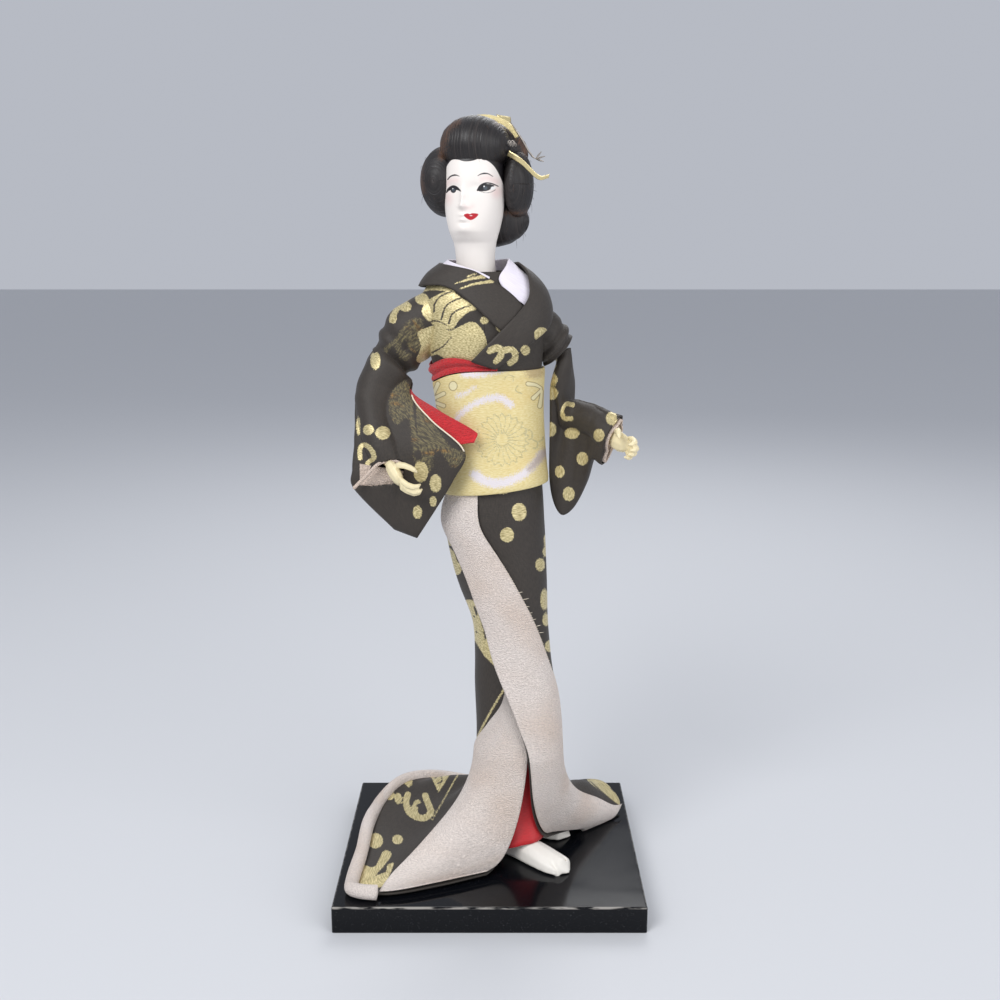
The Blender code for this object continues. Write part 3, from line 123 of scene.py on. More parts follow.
# Skirt: share of the way down, start and end azimuth of the wrap (degrees from the front towards the
# doll's right), then the shares of the wrap where the lower and the upper lining bands end
SKIRT_EDGES = (
    (0.00, -40, 436, 0.100, 0.895),
    (0.14, -40, 428, 0.100, 0.885),
    (0.24, -38, 409, 0.100, 0.866),
    (0.32, -36, 400, 0.100, 0.832),
    (0.40, -33, 386, 0.100, 0.806),
    (0.48, -28, 366, 0.114, 0.786),
    (0.53, -22, 356, 0.172, 0.784),
    (0.60, -16, 344, 0.270, 0.788),
    (0.80, -12, 344, 0.255, 0.805),
    (1.00, -16, 344, 0.155, 0.835),
)
KNEE_SHARE = 0.60

# Hem of the skirt: share of the wrap, then x, y and height (mm)
HEM_ROWS = (
    (0.00, -1.5, -35.5, 2.2),
    (0.07, -22.0, -44.0, 1.8),
    (0.14, -43.0, -50.5, 1.6),
    (0.19, -56.5, -48.5, 1.6),
    (0.22, -58.0, -42.0, 1.8),
    (0.29, -56.5, -17.0, 1.8),
    (0.36, -56.0, 11.0, 2.2),
    (0.42, -51.5, 29.0, 5.5),
    (0.47, -42.0, 38.5, 10.5),
    (0.52, -26.0, 40.5, 11.5),
    (0.60, 3.0, 40.0, 7.0),
    (0.70, 33.0, 41.0, 8.0),
    (0.78, 55.5, 39.0, 10.0),
    (0.83, 64.0, 27.5, 3.0),
    (0.92, 45.0, 8.0, 3.4),
    (1.00, 26.0, -17.5, 10.8),
)
TRAIN_FOLDS = 9
TRAIN_FOLD_DEPTH = 1.6
# Red underskirt: height, centre x, centre y, half width, half depth (mm)
UNDERSKIRT_ROWS = (
    (9.5, 11.0, -4.5, 17.0, 18.5),
    (16, 11.5, -3.4, 15.1, 14.8),
    (26, 12.0, -2.4, 13.9, 13.5),
    (36, 12.4, -2.7, 13.4, 12.1),
    (48, 12.6, -3.0, 12.8, 10.7),
    (80, 11.8, -2.5, 12.2, 9.9),
    (112, 9.0, -1.4, 12.4, 10.6),
)
# Head and neck: height from the head's middle, centre y, half width, front depth, back depth (mm)
HEAD_ORIGIN = (-6.1, 0.0, 294.0)
HEAD_TURN = -20.0
HEAD_ROWS = (
    (-46.0, 1.2, 6.2, 6.2, 6.2),
    (-37.6, 1.2, 6.3, 6.3, 6.3),
    (-37.2, 1.0, 11.0, 9.6, 9.2),
    (-34.0, 1.0, 9.6, 8.8, 8.8),
    (-30.0, 1.0, 8.5, 8.3, 8.5),
    (-24.0, 0.6, 8.3, 8.2, 8.6),
    (-18.5, 0.3, 8.9, 9.2, 9.2),
    (-15.6, 0.1, 9.7, 11.4, 9.8),
    (-13.0, 0.0, 10.5, 12.9, 10.4),
    (-7.0, 0.0, 11.9, 13.3, 11.6),
    (1.0, 0.0, 12.6, 13.2, 12.6),
    (9.0, 0.0, 12.5, 13.2, 13.0),
    (16.0, 0.0, 11.2, 12.0, 12.2),
    (21.5, 0.0, 8.2, 9.0, 9.6),
    (25.0, 0.0, 1.6, 1.8, 2.0),
)
# Soft forms of the face: side, height, push out, spread sideways, spread in height (mm)
FACE_FORMS = (
    (0.0, -3.2, 1.9, 1.3, 1.5),
    (0.0, 0.4, 1.5, 1.2, 3.2),
    (-1.5, -3.6, 0.5, 0.9, 0.9),
    (1.5, -3.6, 0.5, 0.9, 0.9),
    (0.0, -7.0, 0.8, 1.9, 0.8),
    (0.0, -8.8, 0.8, 1.7, 0.8),
    (0.0, -10.2, -0.3, 2.2, 0.7),
    (0.0, -12.6, 0.8, 3.2, 1.7),
    (-5.2, 3.6, -0.9, 2.6, 1.9),
    (5.2, 3.6, -0.9, 2.6, 1.9),
    (-5.2, 3.4, 0.45, 1.7, 1.0),
    (5.2, 3.4, 0.45, 1.7, 1.0),
)

# Wig: middle and half axes of each combed form, in the head's own frame (mm), and the axis that its
# strands are combed round
HAIR_FORMS = {
    "hair_front_roll": ((0.0, 1.0, 21.0), (14.6, 15.0, 12.2), "X"),
    "hair_wing_right": ((-13.8, 2.5, 7.0), (10.2, 14.0, 14.4), "Y"),
    "hair_wing_left": ((16.6, 8.0, 5.6), (5.8, 10.2, 13.4), "Y"),
    "hair_bun": ((0.5, 13.0, 18.0), (18.3, 10.0, 13.0), "X"),
    "hair_nape_roll": ((1.8, 11.5, -9.0), (18.2, 9.5, 11.2), "X"),
}
# Sleeve bags: share of the way to the mouth, edge over the arm, hanging edge, distance of the arm's
# middle from the first edge, radius round the arm, half thickness of the hanging bag (mm)
RIGHT_SLEEVE_THROUGH = (0.17, 0.86, -0.48)
LEFT_SLEEVE_THROUGH = (0.50, 0.85, -0.10)
RIGHT_SLEEVE_ROWS = (
    (0.00, (-50.6, 4.0, 232.0), (-32.6, 1.0, 219.0), 10.8, 10.2, 3.0),
    (0.18, (-56.8, 1.0, 214.5), (-33.0, -8.0, 211.8), 8.8, 8.4, 3.0),
    (0.38, (-57.5, -6.0, 203.5), (-24.3, -16.5, 202.8), 8.2, 7.0, 2.4),
    (0.56, (-57.6, -12.0, 192.0), (-10.5, -22.2, 190.6), 11.8, 7.4, 2.4),
    (0.74, (-57.9, -15.0, 181.6), (-15.7, -22.0, 178.0), 16.0, 5.6, 2.2),
    (0.87, (-57.6, -16.0, 172.9), (-21.7, -20.5, 167.7), 17.0, 2.4, 2.2),
    (1.00, (-40.6, -17.5, 155.8), (-31.3, -18.5, 152.4), 5.0, 1.2, 1.6),
)
LEFT_SLEEVE_ROWS = (
    (0.00, (36.4, 7.5, 227.4), (26.4, 4.5, 224.6), 5.2, 6.8, 3.0),
    (0.12, (36.0, 6.5, 215.6), (26.9, 2.5, 199.0), 5.6, 6.4, 2.6),
    (0.25, (35.4, 6.0, 209.0), (27.2, 1.0, 171.5), 6.4, 6.4, 2.4),
    (0.40, (38.6, 2.0, 208.9), (31.2, -2.0, 159.2), 6.4, 6.2, 2.2),
    (0.52, (41.0, -1.0, 208.5), (36.7, -3.0, 162.2), 6.4, 6.2, 2.2),
    (0.66, (44.8, -6.0, 207.9), (42.0, -6.0, 174.1), 6.6, 6.2, 2.2),
    (0.80, (49.4, -11.0, 206.5), (44.1, -10.0, 184.6), 7.4, 6.2, 3.0),
    (1.00, (55.4, -17.0, 204.8), (48.1, -14.5, 183.7), 9.6, 6.6, 3.4),
)
# Outline of the right sleeve's mouth, seen from the front: x and height (mm)
SLEEVE_MOUTH = (
    (-56.0, 175.2),
    (-51.5, 180.5),
    (-47.2, 185.4),
    (-41.0, 187.2),
    (-34.6, 185.2),
    (-36.6, 179.6),
    (-40.4, 176.4),
    (-48.5, 175.0),
)

# The narrowest flat side that declare_sheet widens a sheet's worked-out size to
NARROWEST_SHEET = 10.5 * MM

# Collar strips: share along the strip, azimuth and height of the outer edge, azimuth and height of
# the inner edge, distance out from the body (mm and degrees)
COLLAR_ROWS = (
    (0.00, -24, 236.5, -46, 246.0, 2.15),
    (0.08, -16, 239.5, -38, 249.5, 2.15),
    (0.17, -2, 245.5, -30, 254.0, 2.15),
    (0.25, 10, 251.0, -20, 258.0, 2.15),
    (0.32, 24, 255.5, -8, 261.0, 2.15),
    (0.38, 42, 257.5, 10, 264.0, 2.45),
    (0.44, 66, 257.0, 38, 265.0, 2.90),
    (0.50, 105, 256.0, 86, 265.0, 3.20),
    (0.56, 150, 255.5, 142, 265.0, 3.30),
    (0.62, 205, 255.5, 216, 265.0, 3.40),
    (0.68, 238, 255.5, 262, 265.0, 3.45),
    (0.74, 260, 253.0, 290, 261.5, 3.40),
    (0.80, 273, 249.5, 304, 257.5, 3.40),
    (0.86, 290, 242.0, 316, 252.0, 3.40),
    (0.92, 316, 235.5, 336, 244.5, 3.40),
    (1.00, 352, 225.0, 374, 228.5, 3.40),
)
UNDER_COLLAR_ROWS = (
    (0.00, -4, 256.0, -13, 261.6, 0.90),
    (0.12, 6, 258.5, -3, 263.4, 0.90),
    (0.22, 20, 260.5, 14, 265.2, 0.90),
    (0.32, 52, 262.0, 50, 267.0, 1.25),
    (0.42, 95, 262.4, 95, 267.8, 1.60),
    (0.52, 180, 262.4, 180, 268.2, 1.70),
    (0.62, 245, 262.2, 255, 268.4, 1.60),
    (0.72, 268, 258.0, 282, 268.0, 0.90),
    (0.82, 284, 254.0, 316, 265.0, 0.90),
    (0.91, 298, 250.5, 336, 261.0, 0.90),
    (1.00, 310, 247.5, 334, 255.0, 0.90),
)


def interpolated(rows: Rows, place: float) -> list[float]:
    """Values at a place between rows that start with their own place, on a smooth curve.

    Args:
        rows: The rows, each with its place first.
        place: Where between the rows.

    Returns:
        The values without the place.
    """
    first, last = rows[0][0], rows[-1][0]
    place = min(max(place, first), last)
    index = max(i for i in range(len(rows) - 1) if rows[i][0] <= place)
    here, there = rows[index], rows[index + 1]
    before, after = rows[max(index - 1, 0)], rows[min(index + 2, len(rows) - 1)]
    span = there[0] - here[0]
    t = (place - here[0]) / span
    found = []
    for k in range(1, len(here)):
        leave = (there[k] - before[k]) / (there[0] - before[0]) * span
        arrive = (after[k] - here[k]) / (after[0] - here[0]) * span
        change = there[k] - here[k]
        bend = (3 * change - 2 * leave - arrive) * t**2 + (leave + arrive - 2 * change) * t**3
        found.append(here[k] + leave * t + bend)
    return found


def bump(value: float, middle: float, spread: float) -> float:
    """A smooth hill of height 1 at its middle.

    Args:
        value: Where on the hill.
        middle: Where its top is.
        spread: How far from the top it falls to about a third.

    Returns:
        The height there.
    """
    return math.exp(-(((value - middle) / spread) ** 2))


def bump_around(azimuth: float, middle: float, spread: float) -> float:
    """The same hill on a circle of degrees."""
    return bump((azimuth - middle + 180) % 360 - 180, 0, spread)


def ease(value: float, start: float, end: float) -> float:
    """A smooth step from 0 at start to 1 at end."""
    share = min(max((value - start) / (end - start), 0), 1)
    return share * share * (3 - 2 * share)


def stirred(place: Sequence[float], scale: float, seed: float) -> float:
    """Smooth noise from -1 to 1 at a place.

    Args:
        place: The place, in any unit.
        scale: Its size in the same unit.
        seed: Picks another part of the noise.

    Returns:
        The noise.
    """
    return noise.noise(Vector(place) / scale + Vector((seed, seed * 1.7, -seed)))


def world(point: Sequence[float]) -> Vector:
    """A point of the figure in millimetres, in the frame's metres."""
    return Vector(point) * MM + Vector((0, 0, FIGURE_BASE))


def body_ring(height: float, azimuth: float, grow: float = 0.0) -> Vector:
    """A point of the dressed body's surface.

    Args:
        height: Its height above the plinth in millimetres.
        azimuth: Degrees from the front towards the doll's right.
        grow: How far outside the surface, in millimetres.

    Returns:
        The point in millimetres.
    """
    centre_x, centre_y, half_width, half_depth = interpolated(BODY_ROWS, height)
    angle = math.radians(azimuth)
    return Vector(
        (
            centre_x - (half_width + grow) * math.sin(angle),
            centre_y - (half_depth + grow) * math.cos(angle),
            height,
        )
    )


def body_outside(azimuth: float, height: float, distance: float) -> Vector:
    """A point straight outside the dressed body's surface, as body_ring gives it.

    Args:
        azimuth: Degrees from the front towards the doll's right.
        height: Its height in millimetres.
        distance: How far outside, square to the surface.

    Returns:
        The point in millimetres.
    """
    step = 0.6
    around = body_ring(height, azimuth + step) - body_ring(height, azimuth - step)
    rise = body_ring(height + step, azimuth) - body_ring(height - step, azimuth)
    return body_ring(height, azimuth) + rise.cross(around).normalized() * distance


def skirt_point(share: float, down: float) -> Vector:
    """The skirt's middle surface.

    Args:
        share: Share of the wrap, from its start under the upper band.
        down: Share of the way from the waist to the hem.

    Returns:
        The point in millimetres.
    """
    start, end = interpolated(SKIRT_EDGES, down)[:2]
    azimuth = start + (end - start) * share
    wrap = SKIRT_EDGES[0][2] - SKIRT_EDGES[0][1]
    inset = -SKIRT_LAP_STEP * (1 - (azimuth - SKIRT_EDGES[0][1]) / wrap) - KIMONO_CLOTH / MM / 2
    if down <= KNEE_SHARE:
        height = SKIRT_TOP + (KNEE_HEIGHT - SKIRT_TOP) * down / KNEE_SHARE
        return body_ring(height, azimuth, inset)
    flare = (down - KNEE_SHARE) / (1 - KNEE_SHARE) * math.pi / 2
    knee = body_ring(KNEE_HEIGHT, azimuth, inset)
    hem = Vector(interpolated(HEM_ROWS, share))
    out, fall = 1 - math.cos(flare), math.sin(flare)
    point = knee.lerp(hem, out)
    point.z = knee.z + (hem.z - knee.z) * fall
    raised = bump(share, 0.46, 0.10) * 5 + bump(share, 0.77, 0.09) * 6
    point.z += raised * bump(out, 0.62, 0.30) * (1 - out**3)
    outward = (hem - knee).to_2d().normalized().to_3d()
    wave = math.sin(math.tau * TRAIN_FOLDS * share) * bump(share, 0.5, 0.28)
    return point + outward * wave * TRAIN_FOLD_DEPTH * math.sin(flare) * (1 - out**4)


def skirt_outside(share: float, down: float, distance: float) -> Vector:
    """A point outside the skirt's middle surface, kept off the plinth.

    Args:
        share: Share of the wrap.
        down: Share of the way down.
        distance: How far outside, in millimetres.

    Returns:
        The point in millimetres.
    """
    beside, below = 1 / 60, 1 / 40
    along = skirt_point(min(share + beside, 1), down) - skirt_point(max(share - beside, 0), down)
    fall = skirt_point(share, min(down + below, 1)) - skirt_point(share, max(down - below, 0))
    point = skirt_point(share, down) + along.cross(fall).normalized() * distance
    point.z = max(point.z, (SEAT + LINING_CLOTH) / MM)
    return point


def sleeve_point(
    rows: Rows, through: Sequence[float], around: float, along: float, inset: float = 0.0
) -> Vector:
    """A sleeve's surface: round the arm and out to a flat hanging bag, from elbow to mouth.

    Args:
        rows: The sleeve's rows.
        through: The direction through the bag.
        around: Share of the way round.
        along: Share of the way to the mouth.
        inset: How far inside, in millimetres.

    Returns:
        The point in millimetres.
    """
    flat = [(row[0], *row[1], *row[2], *row[3:]) for row in rows]
    found = interpolated(flat, along)
    arm, hang = Vector(found[0:3]), Vector(found[3:6])
    arm_place, arm_radius, bag = found[6:]
    down = hang - arm
    length = down.length
    down.normalize()
    across = Vector(through)
    flat_side = (across - down * across.dot(down)).normalized()
    angle = math.tau * around
    place = length * (1 + math.cos(angle)) / 2
    round_arm = math.sqrt(max(arm_radius**2 - (place - arm_place) ** 2, 0))
    flat_bag = bag * abs(math.sin(angle)) ** 0.6
    thick = (round_arm**3 + flat_bag**3) ** (1 / 3)
    thick = max(thick - inset, 0) * min(1, abs(math.sin(angle)) * 4)
    place = inset + (length - 2 * inset) * place / length
    return arm + down * place + flat_side * math.copysign(thick, math.sin(angle))


def sphere_point(around: float, rise: float) -> Vector:
    """A point of the unit sphere, by its angles in radians."""
    return Vector((math.cos(around) * math.cos(rise), math.sin(around) * math.cos(rise), math.sin(rise)))


def head_frame() -> Matrix:
    """Where the head stands, in millimetres."""
    return Matrix.Translation(HEAD_ORIGIN) @ Matrix.Rotation(math.radians(HEAD_TURN), 4, "Z")


def head_point(turn: float, height: float) -> Vector:
    """A point of the head in its own frame.

    Args:
        turn: Share of a turn from the middle of the face.
        height: Its height from the head's middle in millimetres.

    Returns:
        The point in millimetres.
    """
    centre_y, half_width, front, back = interpolated(HEAD_ROWS, height)
    angle = math.tau * turn
    x, ahead = math.sin(angle), math.cos(angle)
    depth = front if ahead > 0 else back
    width, reach = half_width * x, depth * ahead
    if ahead > 0:
        for side, up, push, wide, tall in FACE_FORMS:
            form = bump(width, side, wide) * bump(height, up, tall)
            reach += push * form * min(ahead * 2.5, 1)
    return Vector((width, centre_y - reach, height))


def picture_points(points: np.ndarray) -> tuple[np.ndarray, np.ndarray]:
    """Where points of the frame appear in the picture.

    Args:
        points: The points in metres, one a row.

    Returns:
        How far across and down the picture each is, in thousandths of its side.
    """
    offset = points - np.array(EYE)
    ahead = offset @ np.array((0, math.cos(EYE_PITCH), -math.sin(EYE_PITCH)))
    above = offset @ np.array((0, math.sin(EYE_PITCH), math.cos(EYE_PITCH)))
    return PICTURE_MIDDLE + EYE_FOCUS * offset[:, 0] / ahead, PICTURE_MIDDLE - EYE_FOCUS * above / ahead


def from_picture(x: float, y: float, depth: float) -> Vector:
    """The point of the frame that appears at a place of the picture.

    Args:
        x: Across the picture, in thousandths.
        y: Down the picture, in thousandths.
        depth: The point's y in millimetres.

    Returns:
        The point in metres.
    """
    right, drop = (x - PICTURE_MIDDLE) / EYE_FOCUS, (y - PICTURE_MIDDLE) / EYE_FOCUS
    ahead = math.cos(EYE_PITCH) - math.sin(EYE_PITCH) * drop
    fall = -math.sin(EYE_PITCH) - math.cos(EYE_PITCH) * drop
    reach = (depth * MM - EYE[1]) / ahead
    return Vector((EYE[0] + right * reach, depth * MM, EYE[2] + fall * reach))


def figure_point(x: float, y: float, depth: float) -> Vector:
    """The same point counted from the plinth's top, in millimetres."""
    return (from_picture(x, y, depth) - Vector((0, 0, FIGURE_BASE))) / MM


class Layer(Enum):
    """The woven or painted layers a piece can carry."""

    GOLD = "gold"
    OLIVE = "olive"
    LINE = "line"
    SILVER = "silver"
    BLACK = "black"
    RED = "red"
    # Pink blush, which also carries painted shade under the nose
    BLUSH_AND_SHADE = "blush"
    BLUE = "blue"
    WHITE = "white"
    BROWN = "brown"


@dataclass(frozen=True)
class Dot:
    """A filled ellipse."""

    x: float
    y: float
    wide: float
    tall: float = 0.0

    def inside(self, x: np.ndarray, y: np.ndarray) -> np.ndarray:
        """How far inside the ellipse each place is."""
        tall = self.tall or self.wide
        away = np.hypot((x - self.x) / self.wide, (y - self.y) / tall)
        return (1 - away) * min(self.wide, tall)


def dots(*rows: Sequence[float]) -> tuple[Dot, ...]:
    """Filled ellipses, each by its place and half sizes."""
    return tuple(Dot(*row) for row in rows)


@dataclass(frozen=True)
class Stroke:
    """A line through points with round ends."""

    points: tuple[tuple[float, float], ...]
    width: float
    end_width: float | None = None
    curved: bool = True

    def inside(self, x: np.ndarray, y: np.ndarray) -> np.ndarray:
        """How far inside the line each place is."""
        points = list(self.points)
        if self.curved and len(points) > 2:
            rows = [(i / (len(points) - 1), *point) for i, point in enumerate(points)]
            points = [interpolated(rows, i / (len(points) * 5)) for i in range(len(points) * 5 + 1)]
        end = self.width if self.end_width is None else self.end_width
        best = np.full_like(x, -1e6)
        for i, (a, b) in enumerate(zip(points, points[1:])):
            way_x, way_y = b[0] - a[0], b[1] - a[1]
            size = max(way_x**2 + way_y**2, 1e-9)
            along = np.clip(((x - a[0]) * way_x + (y - a[1]) * way_y) / size, 0, 1)
            away = np.hypot(x - a[0] - along * way_x, y - a[1] - along * way_y)
            half = (self.width + (end - self.width) * (i + along) / (len(points) - 1)) / 2
            best = np.maximum(best, half - away)
        return best


@dataclass(frozen=True)
class Patch:
    """A filled outline, rounded a little at its corners."""

    outline: tuple[tuple[float, float], ...]
    curved: bool = True

    def inside(self, x: np.ndarray, y: np.ndarray) -> np.ndarray:
        """How far inside the outline each place is."""
        points = list(self.outline)
        if self.curved:
            count = len(points)
            loop = [points[(i - 2) % count] for i in range(count + 5)]
            rows = [(i - 2, *point) for i, point in enumerate(loop)]
            points = [interpolated(rows, i / 4) for i in range(count * 4)]
        best = np.full_like(x, 1e6)
        within = np.zeros(x.shape, bool)
        for a, b in zip(points, points[1:] + points[:1]):
            way_x, way_y = b[0] - a[0], b[1] - a[1]
            size = max(way_x**2 + way_y**2, 1e-9)
            along = np.clip(((x - a[0]) * way_x + (y - a[1]) * way_y) / size, 0, 1)
            best = np.minimum(best, np.hypot(x - a[0] - along * way_x, y - a[1] - along * way_y))
            crosses = (a[1] > y) != (b[1] > y)
            level = np.where(abs(way_y) < 1e-9, 1e-9, way_y)
            within ^= crosses & (x < a[0] + (y - a[1]) * way_x / level)
        return np.where(within, best, -best)


@dataclass(frozen=True)
class Drawing:
    """Figures on a sheet with its own corner and scale in the picture."""

    corner: tuple[float, float]
    scale: float
    layers: dict[Layer, tuple]

    def inside(self, layer: Layer, x: np.ndarray, y: np.ndarray) -> np.ndarray:
        """How far inside a layer's figures each place of the picture is, in its thousandths."""
        sheet_x = (x - self.corner[0]) * self.scale
        sheet_y = (y - self.corner[1]) * self.scale
        best = np.full_like(sheet_x, -1e3)
        for figure in self.layers.get(layer, ()):
            best = np.maximum(best, figure.inside(sheet_x, sheet_y))
        return best / self.scale


# Corner in the picture and scale of the drawing sheets that several drawings share
UPPER_BODY_SHEET = ((340, 280), 5.8)
HEAD_SHEET = ((400, 100), 9.225)

BODICE_DRAWING = Drawing(
    *UPPER_BODY_SHEET,
    {
        Layer.GOLD: (
            Stroke(((305, 235), (335, 165), (400, 105), (500, 52), (600, 52), (660, 75)), 34, 24),
            *dots((478, 112, 40, 34), (382, 158, 34, 28), (312, 222, 20, 32)),
            Patch(((475, 188), (492, 140), (560, 92), (640, 66), (710, 105), (792, 165), (740, 190),
                   (690, 235), (650, 285), (560, 265), (500, 225))),
            Patch(((452, 300), (560, 262), (640, 295), (690, 272), (770, 242), (826, 290), (852, 360),
                   (846, 410), (790, 470), (640, 465), (560, 430), (480, 475), (440, 462), (470, 380))),
            *dots((838, 235, 25, 22), (940, 276, 36, 30)),
            Stroke(((868, 392), (915, 390), (935, 430), (905, 470), (872, 480)), 44, 40),
            Stroke(((960, 400), (1000, 405), (1015, 450), (985, 482)), 40, 34),
            Dot(1072, 406, 26, 30),
        ),
        Layer.OLIVE: (
            Patch(((255, 405), (330, 330), (385, 245), (470, 226), (486, 300), (470, 390), (430, 415),
                   (398, 395), (378, 345), (352, 395), (405, 425), (400, 458), (352, 452), (325, 400),
                   (300, 385), (275, 425))),
            Stroke(((480, 470), (520, 430), (570, 380), (640, 330)), 26, 10),
        ),
        Layer.LINE: (
            Stroke(((548, 186), (555, 134), (592, 92), (655, 68)), 11, 8),
            Stroke(((590, 228), (614, 157), (660, 122), (708, 104)), 11, 8),
            Stroke(((633, 253), (651, 201), (696, 171), (757, 148)), 11, 8),
            Stroke(((500, 250), (560, 236), (620, 262)), 12, 6),
            Stroke(((540, 420), (600, 385), (650, 330)), 12, 6),
        ),
    },
)
COLLAR_DRAWING = Drawing(
    *UPPER_BODY_SHEET,
    {
        Layer.GOLD: (
            Stroke(((698, 52), (770, 28), (850, 14), (884, 8)), 8, 22),
            Stroke(((668, 22), (760, -4), (838, -20)), 6, 22),
            Stroke(((740, -18), (790, -36)), 12, 6),
            *dots((1165, 318, 42, 44), (1072, 406, 26, 30)),
            Stroke(((870, 410), (915, 392), (935, 430), (905, 470)), 40, 36),
            Stroke(((960, 400), (1003, 408), (1015, 450), (980, 482)), 38, 32),
        ),
    },
)
RIGHT_SLEEVE_DRAWING = Drawing(
    *UPPER_BODY_SHEET,
    {
        Layer.GOLD: (
            *dots((208, 470, 28, 52), (168, 870, 30), (248, 889, 41, 39)),
            Stroke(((118, 1035), (120, 975), (150, 955), (185, 985), (200, 1030), (165, 1060),
                    (150, 1115)), 27),
            *dots((110, 850, 13, 52), (555, 1178, 34, 52), (470, 1112, 42, 60), (540, 1282, 20, 30),
                   (450, 1345, 27, 38)),
        ),
        Layer.OLIVE: (
            Patch(((290, 760), (300, 650), (370, 585), (425, 655), (520, 800), (640, 965), (722, 1005),
                   (662, 1090), (612, 1030), (580, 985), (545, 1010), (535, 1090), (480, 1130), (436, 1060),
                   (420, 940), (395, 800), (330, 842))),
        ),
        Layer.LINE: (
            Stroke(((430, 700), (440, 820), (455, 960)), 16, 8),
            Dot(455, 1015, 20, 30),
        ),
    },
)
LEFT_SLEEVE_DRAWING = Drawing(
    (0, 0),
    1.0,
    {
        Layer.GOLD: (
            *dots((552.7, 365, 4.6, 5), (552.7, 379.5, 5.4, 6), (552.7, 393.4, 5.6, 6.4),
                   (550.5, 429.3, 5.6, 7.2), (572.5, 433, 7.6, 5.9), (599.6, 435.2, 5.4, 6.2),
                   (611.7, 419, 5.6, 6.6), (583, 458.7, 6, 6.6), (560, 471.8, 5, 6), (568.9, 493.8, 6, 7)),
            Stroke(((573, 405.5), (566, 404.5), (562.5, 411), (565, 418), (572, 418.5)), 4.4),
        ),
    },
)
SKIRT_DRAWING = Drawing(
    (430, 490),
    4.02,
    {
        Layer.GOLD: (
            *dots((357, 88, 30, 36), (309, 180, 28, 30), (468, 200, 15, 27), (465, 247, 16, 22),
                   (440, 300, 19, 26), (457, 440, 16, 42), (463, 522, 14, 24), (477, 628, 18, 24),
                   (290, 2, 30, 14)),
            Stroke(((15, 80), (45, 160), (75, 240), (110, 320)), 62, 40),
            Stroke(((160, 470), (190, 560), (235, 650), (275, 700)), 62, 30),
            Stroke(((310, 780), (240, 900), (175, 1030), (100, 1170), (10, 1330)), 9, 5),
            Patch(((590, 1105), (650, 1098), (720, 1108), (790, 1210), (775, 1285), (700, 1225), (640, 1180)),
                  curved=False),
            Patch(((0, 1130), (110, 1100), (35, 1220)), curved=False),
        ),
        Layer.LINE: (
            Dot(752, 1165, 36, 56),
            Stroke(((30, 120), (70, 130)), 9),
            Stroke(((60, 220), (100, 240), (120, 290)), 12),
            Stroke(((150, 520), (190, 500), (180, 470)), 9),
            Stroke(((180, 570), (220, 575), (225, 600)), 8),
            Stroke(((590, 1110), (660, 1190), (780, 1290)), 5),
        ),
    },
)
TRAIN_DRAWING = Drawing(
    (325, 745),
    9.8,
    {
        Layer.GOLD: (
            *dots((636, 496, 46, 50), (720, 530, 34, 56)),
            Stroke(((815, 490), (800, 570), (825, 660), (900, 715)), 62),
            Stroke(((910, 570), (880, 640), (910, 710), (985, 720), (1040, 660), (1010, 570),
                    (985, 500)), 62),
            *dots((495, 945, 74, 76), (713, 933, 52, 48)),
            Patch(((300, 1165), (450, 1205), (505, 1180), (580, 1040), (655, 1075), (595, 1170), (500, 1280),
                   (445, 1330), (440, 1425), (260, 1460), (215, 1390), (230, 1270))),
            Patch(((460, 1325), (535, 1275), (600, 1250), (612, 1185), (675, 1165), (640, 1270), (600, 1340),
                   (560, 1400), (500, 1400))),
            Patch(((650, 375), (690, 290), (760, 240), (860, 240), (858, 400), (810, 430), (760, 385)),
                  curved=False),
            Patch(((900, 260), (1040, 236), (1300, 178), (1190, 340), (1118, 465), (1048, 330)),
                  curved=False),
        ),
        Layer.LINE: (
            *dots((940, 600, 42, 22), (845, 565, 16, 40)),
            Stroke(((720, 370), (780, 400), (820, 440)), 26),
            Stroke(((1080, 330), (1130, 300), (1150, 360), (1110, 380)), 16),
            Dot(955, 330, 60, 60),
        ),
    },
)
CHRYSANTHEMUM_MIDDLE = (850, 880)
CHRYSANTHEMUM_PETALS = 22


def chrysanthemum() -> tuple[Stroke, ...]:
    """The lines between a chrysanthemum's petals, then the petals' tips."""

    def spot(radius: float, angle: float) -> tuple[float, float]:
        x, y = CHRYSANTHEMUM_MIDDLE
        return (x + radius * math.cos(angle), y + radius * math.sin(angle))

    lines, tips = [], []
    for i in range(CHRYSANTHEMUM_PETALS):
        angle = math.tau * i / CHRYSANTHEMUM_PETALS
        lines.append(Stroke((spot(60, angle), spot(160, angle + 0.06), spot(235, angle)), 11, 7))
        angle = math.tau * (i + 0.5) / CHRYSANTHEMUM_PETALS
        tips.append(Stroke((spot(225, angle - 0.1), spot(262, angle), spot(225, angle + 0.1)), 10))
    return (*lines, *tips)


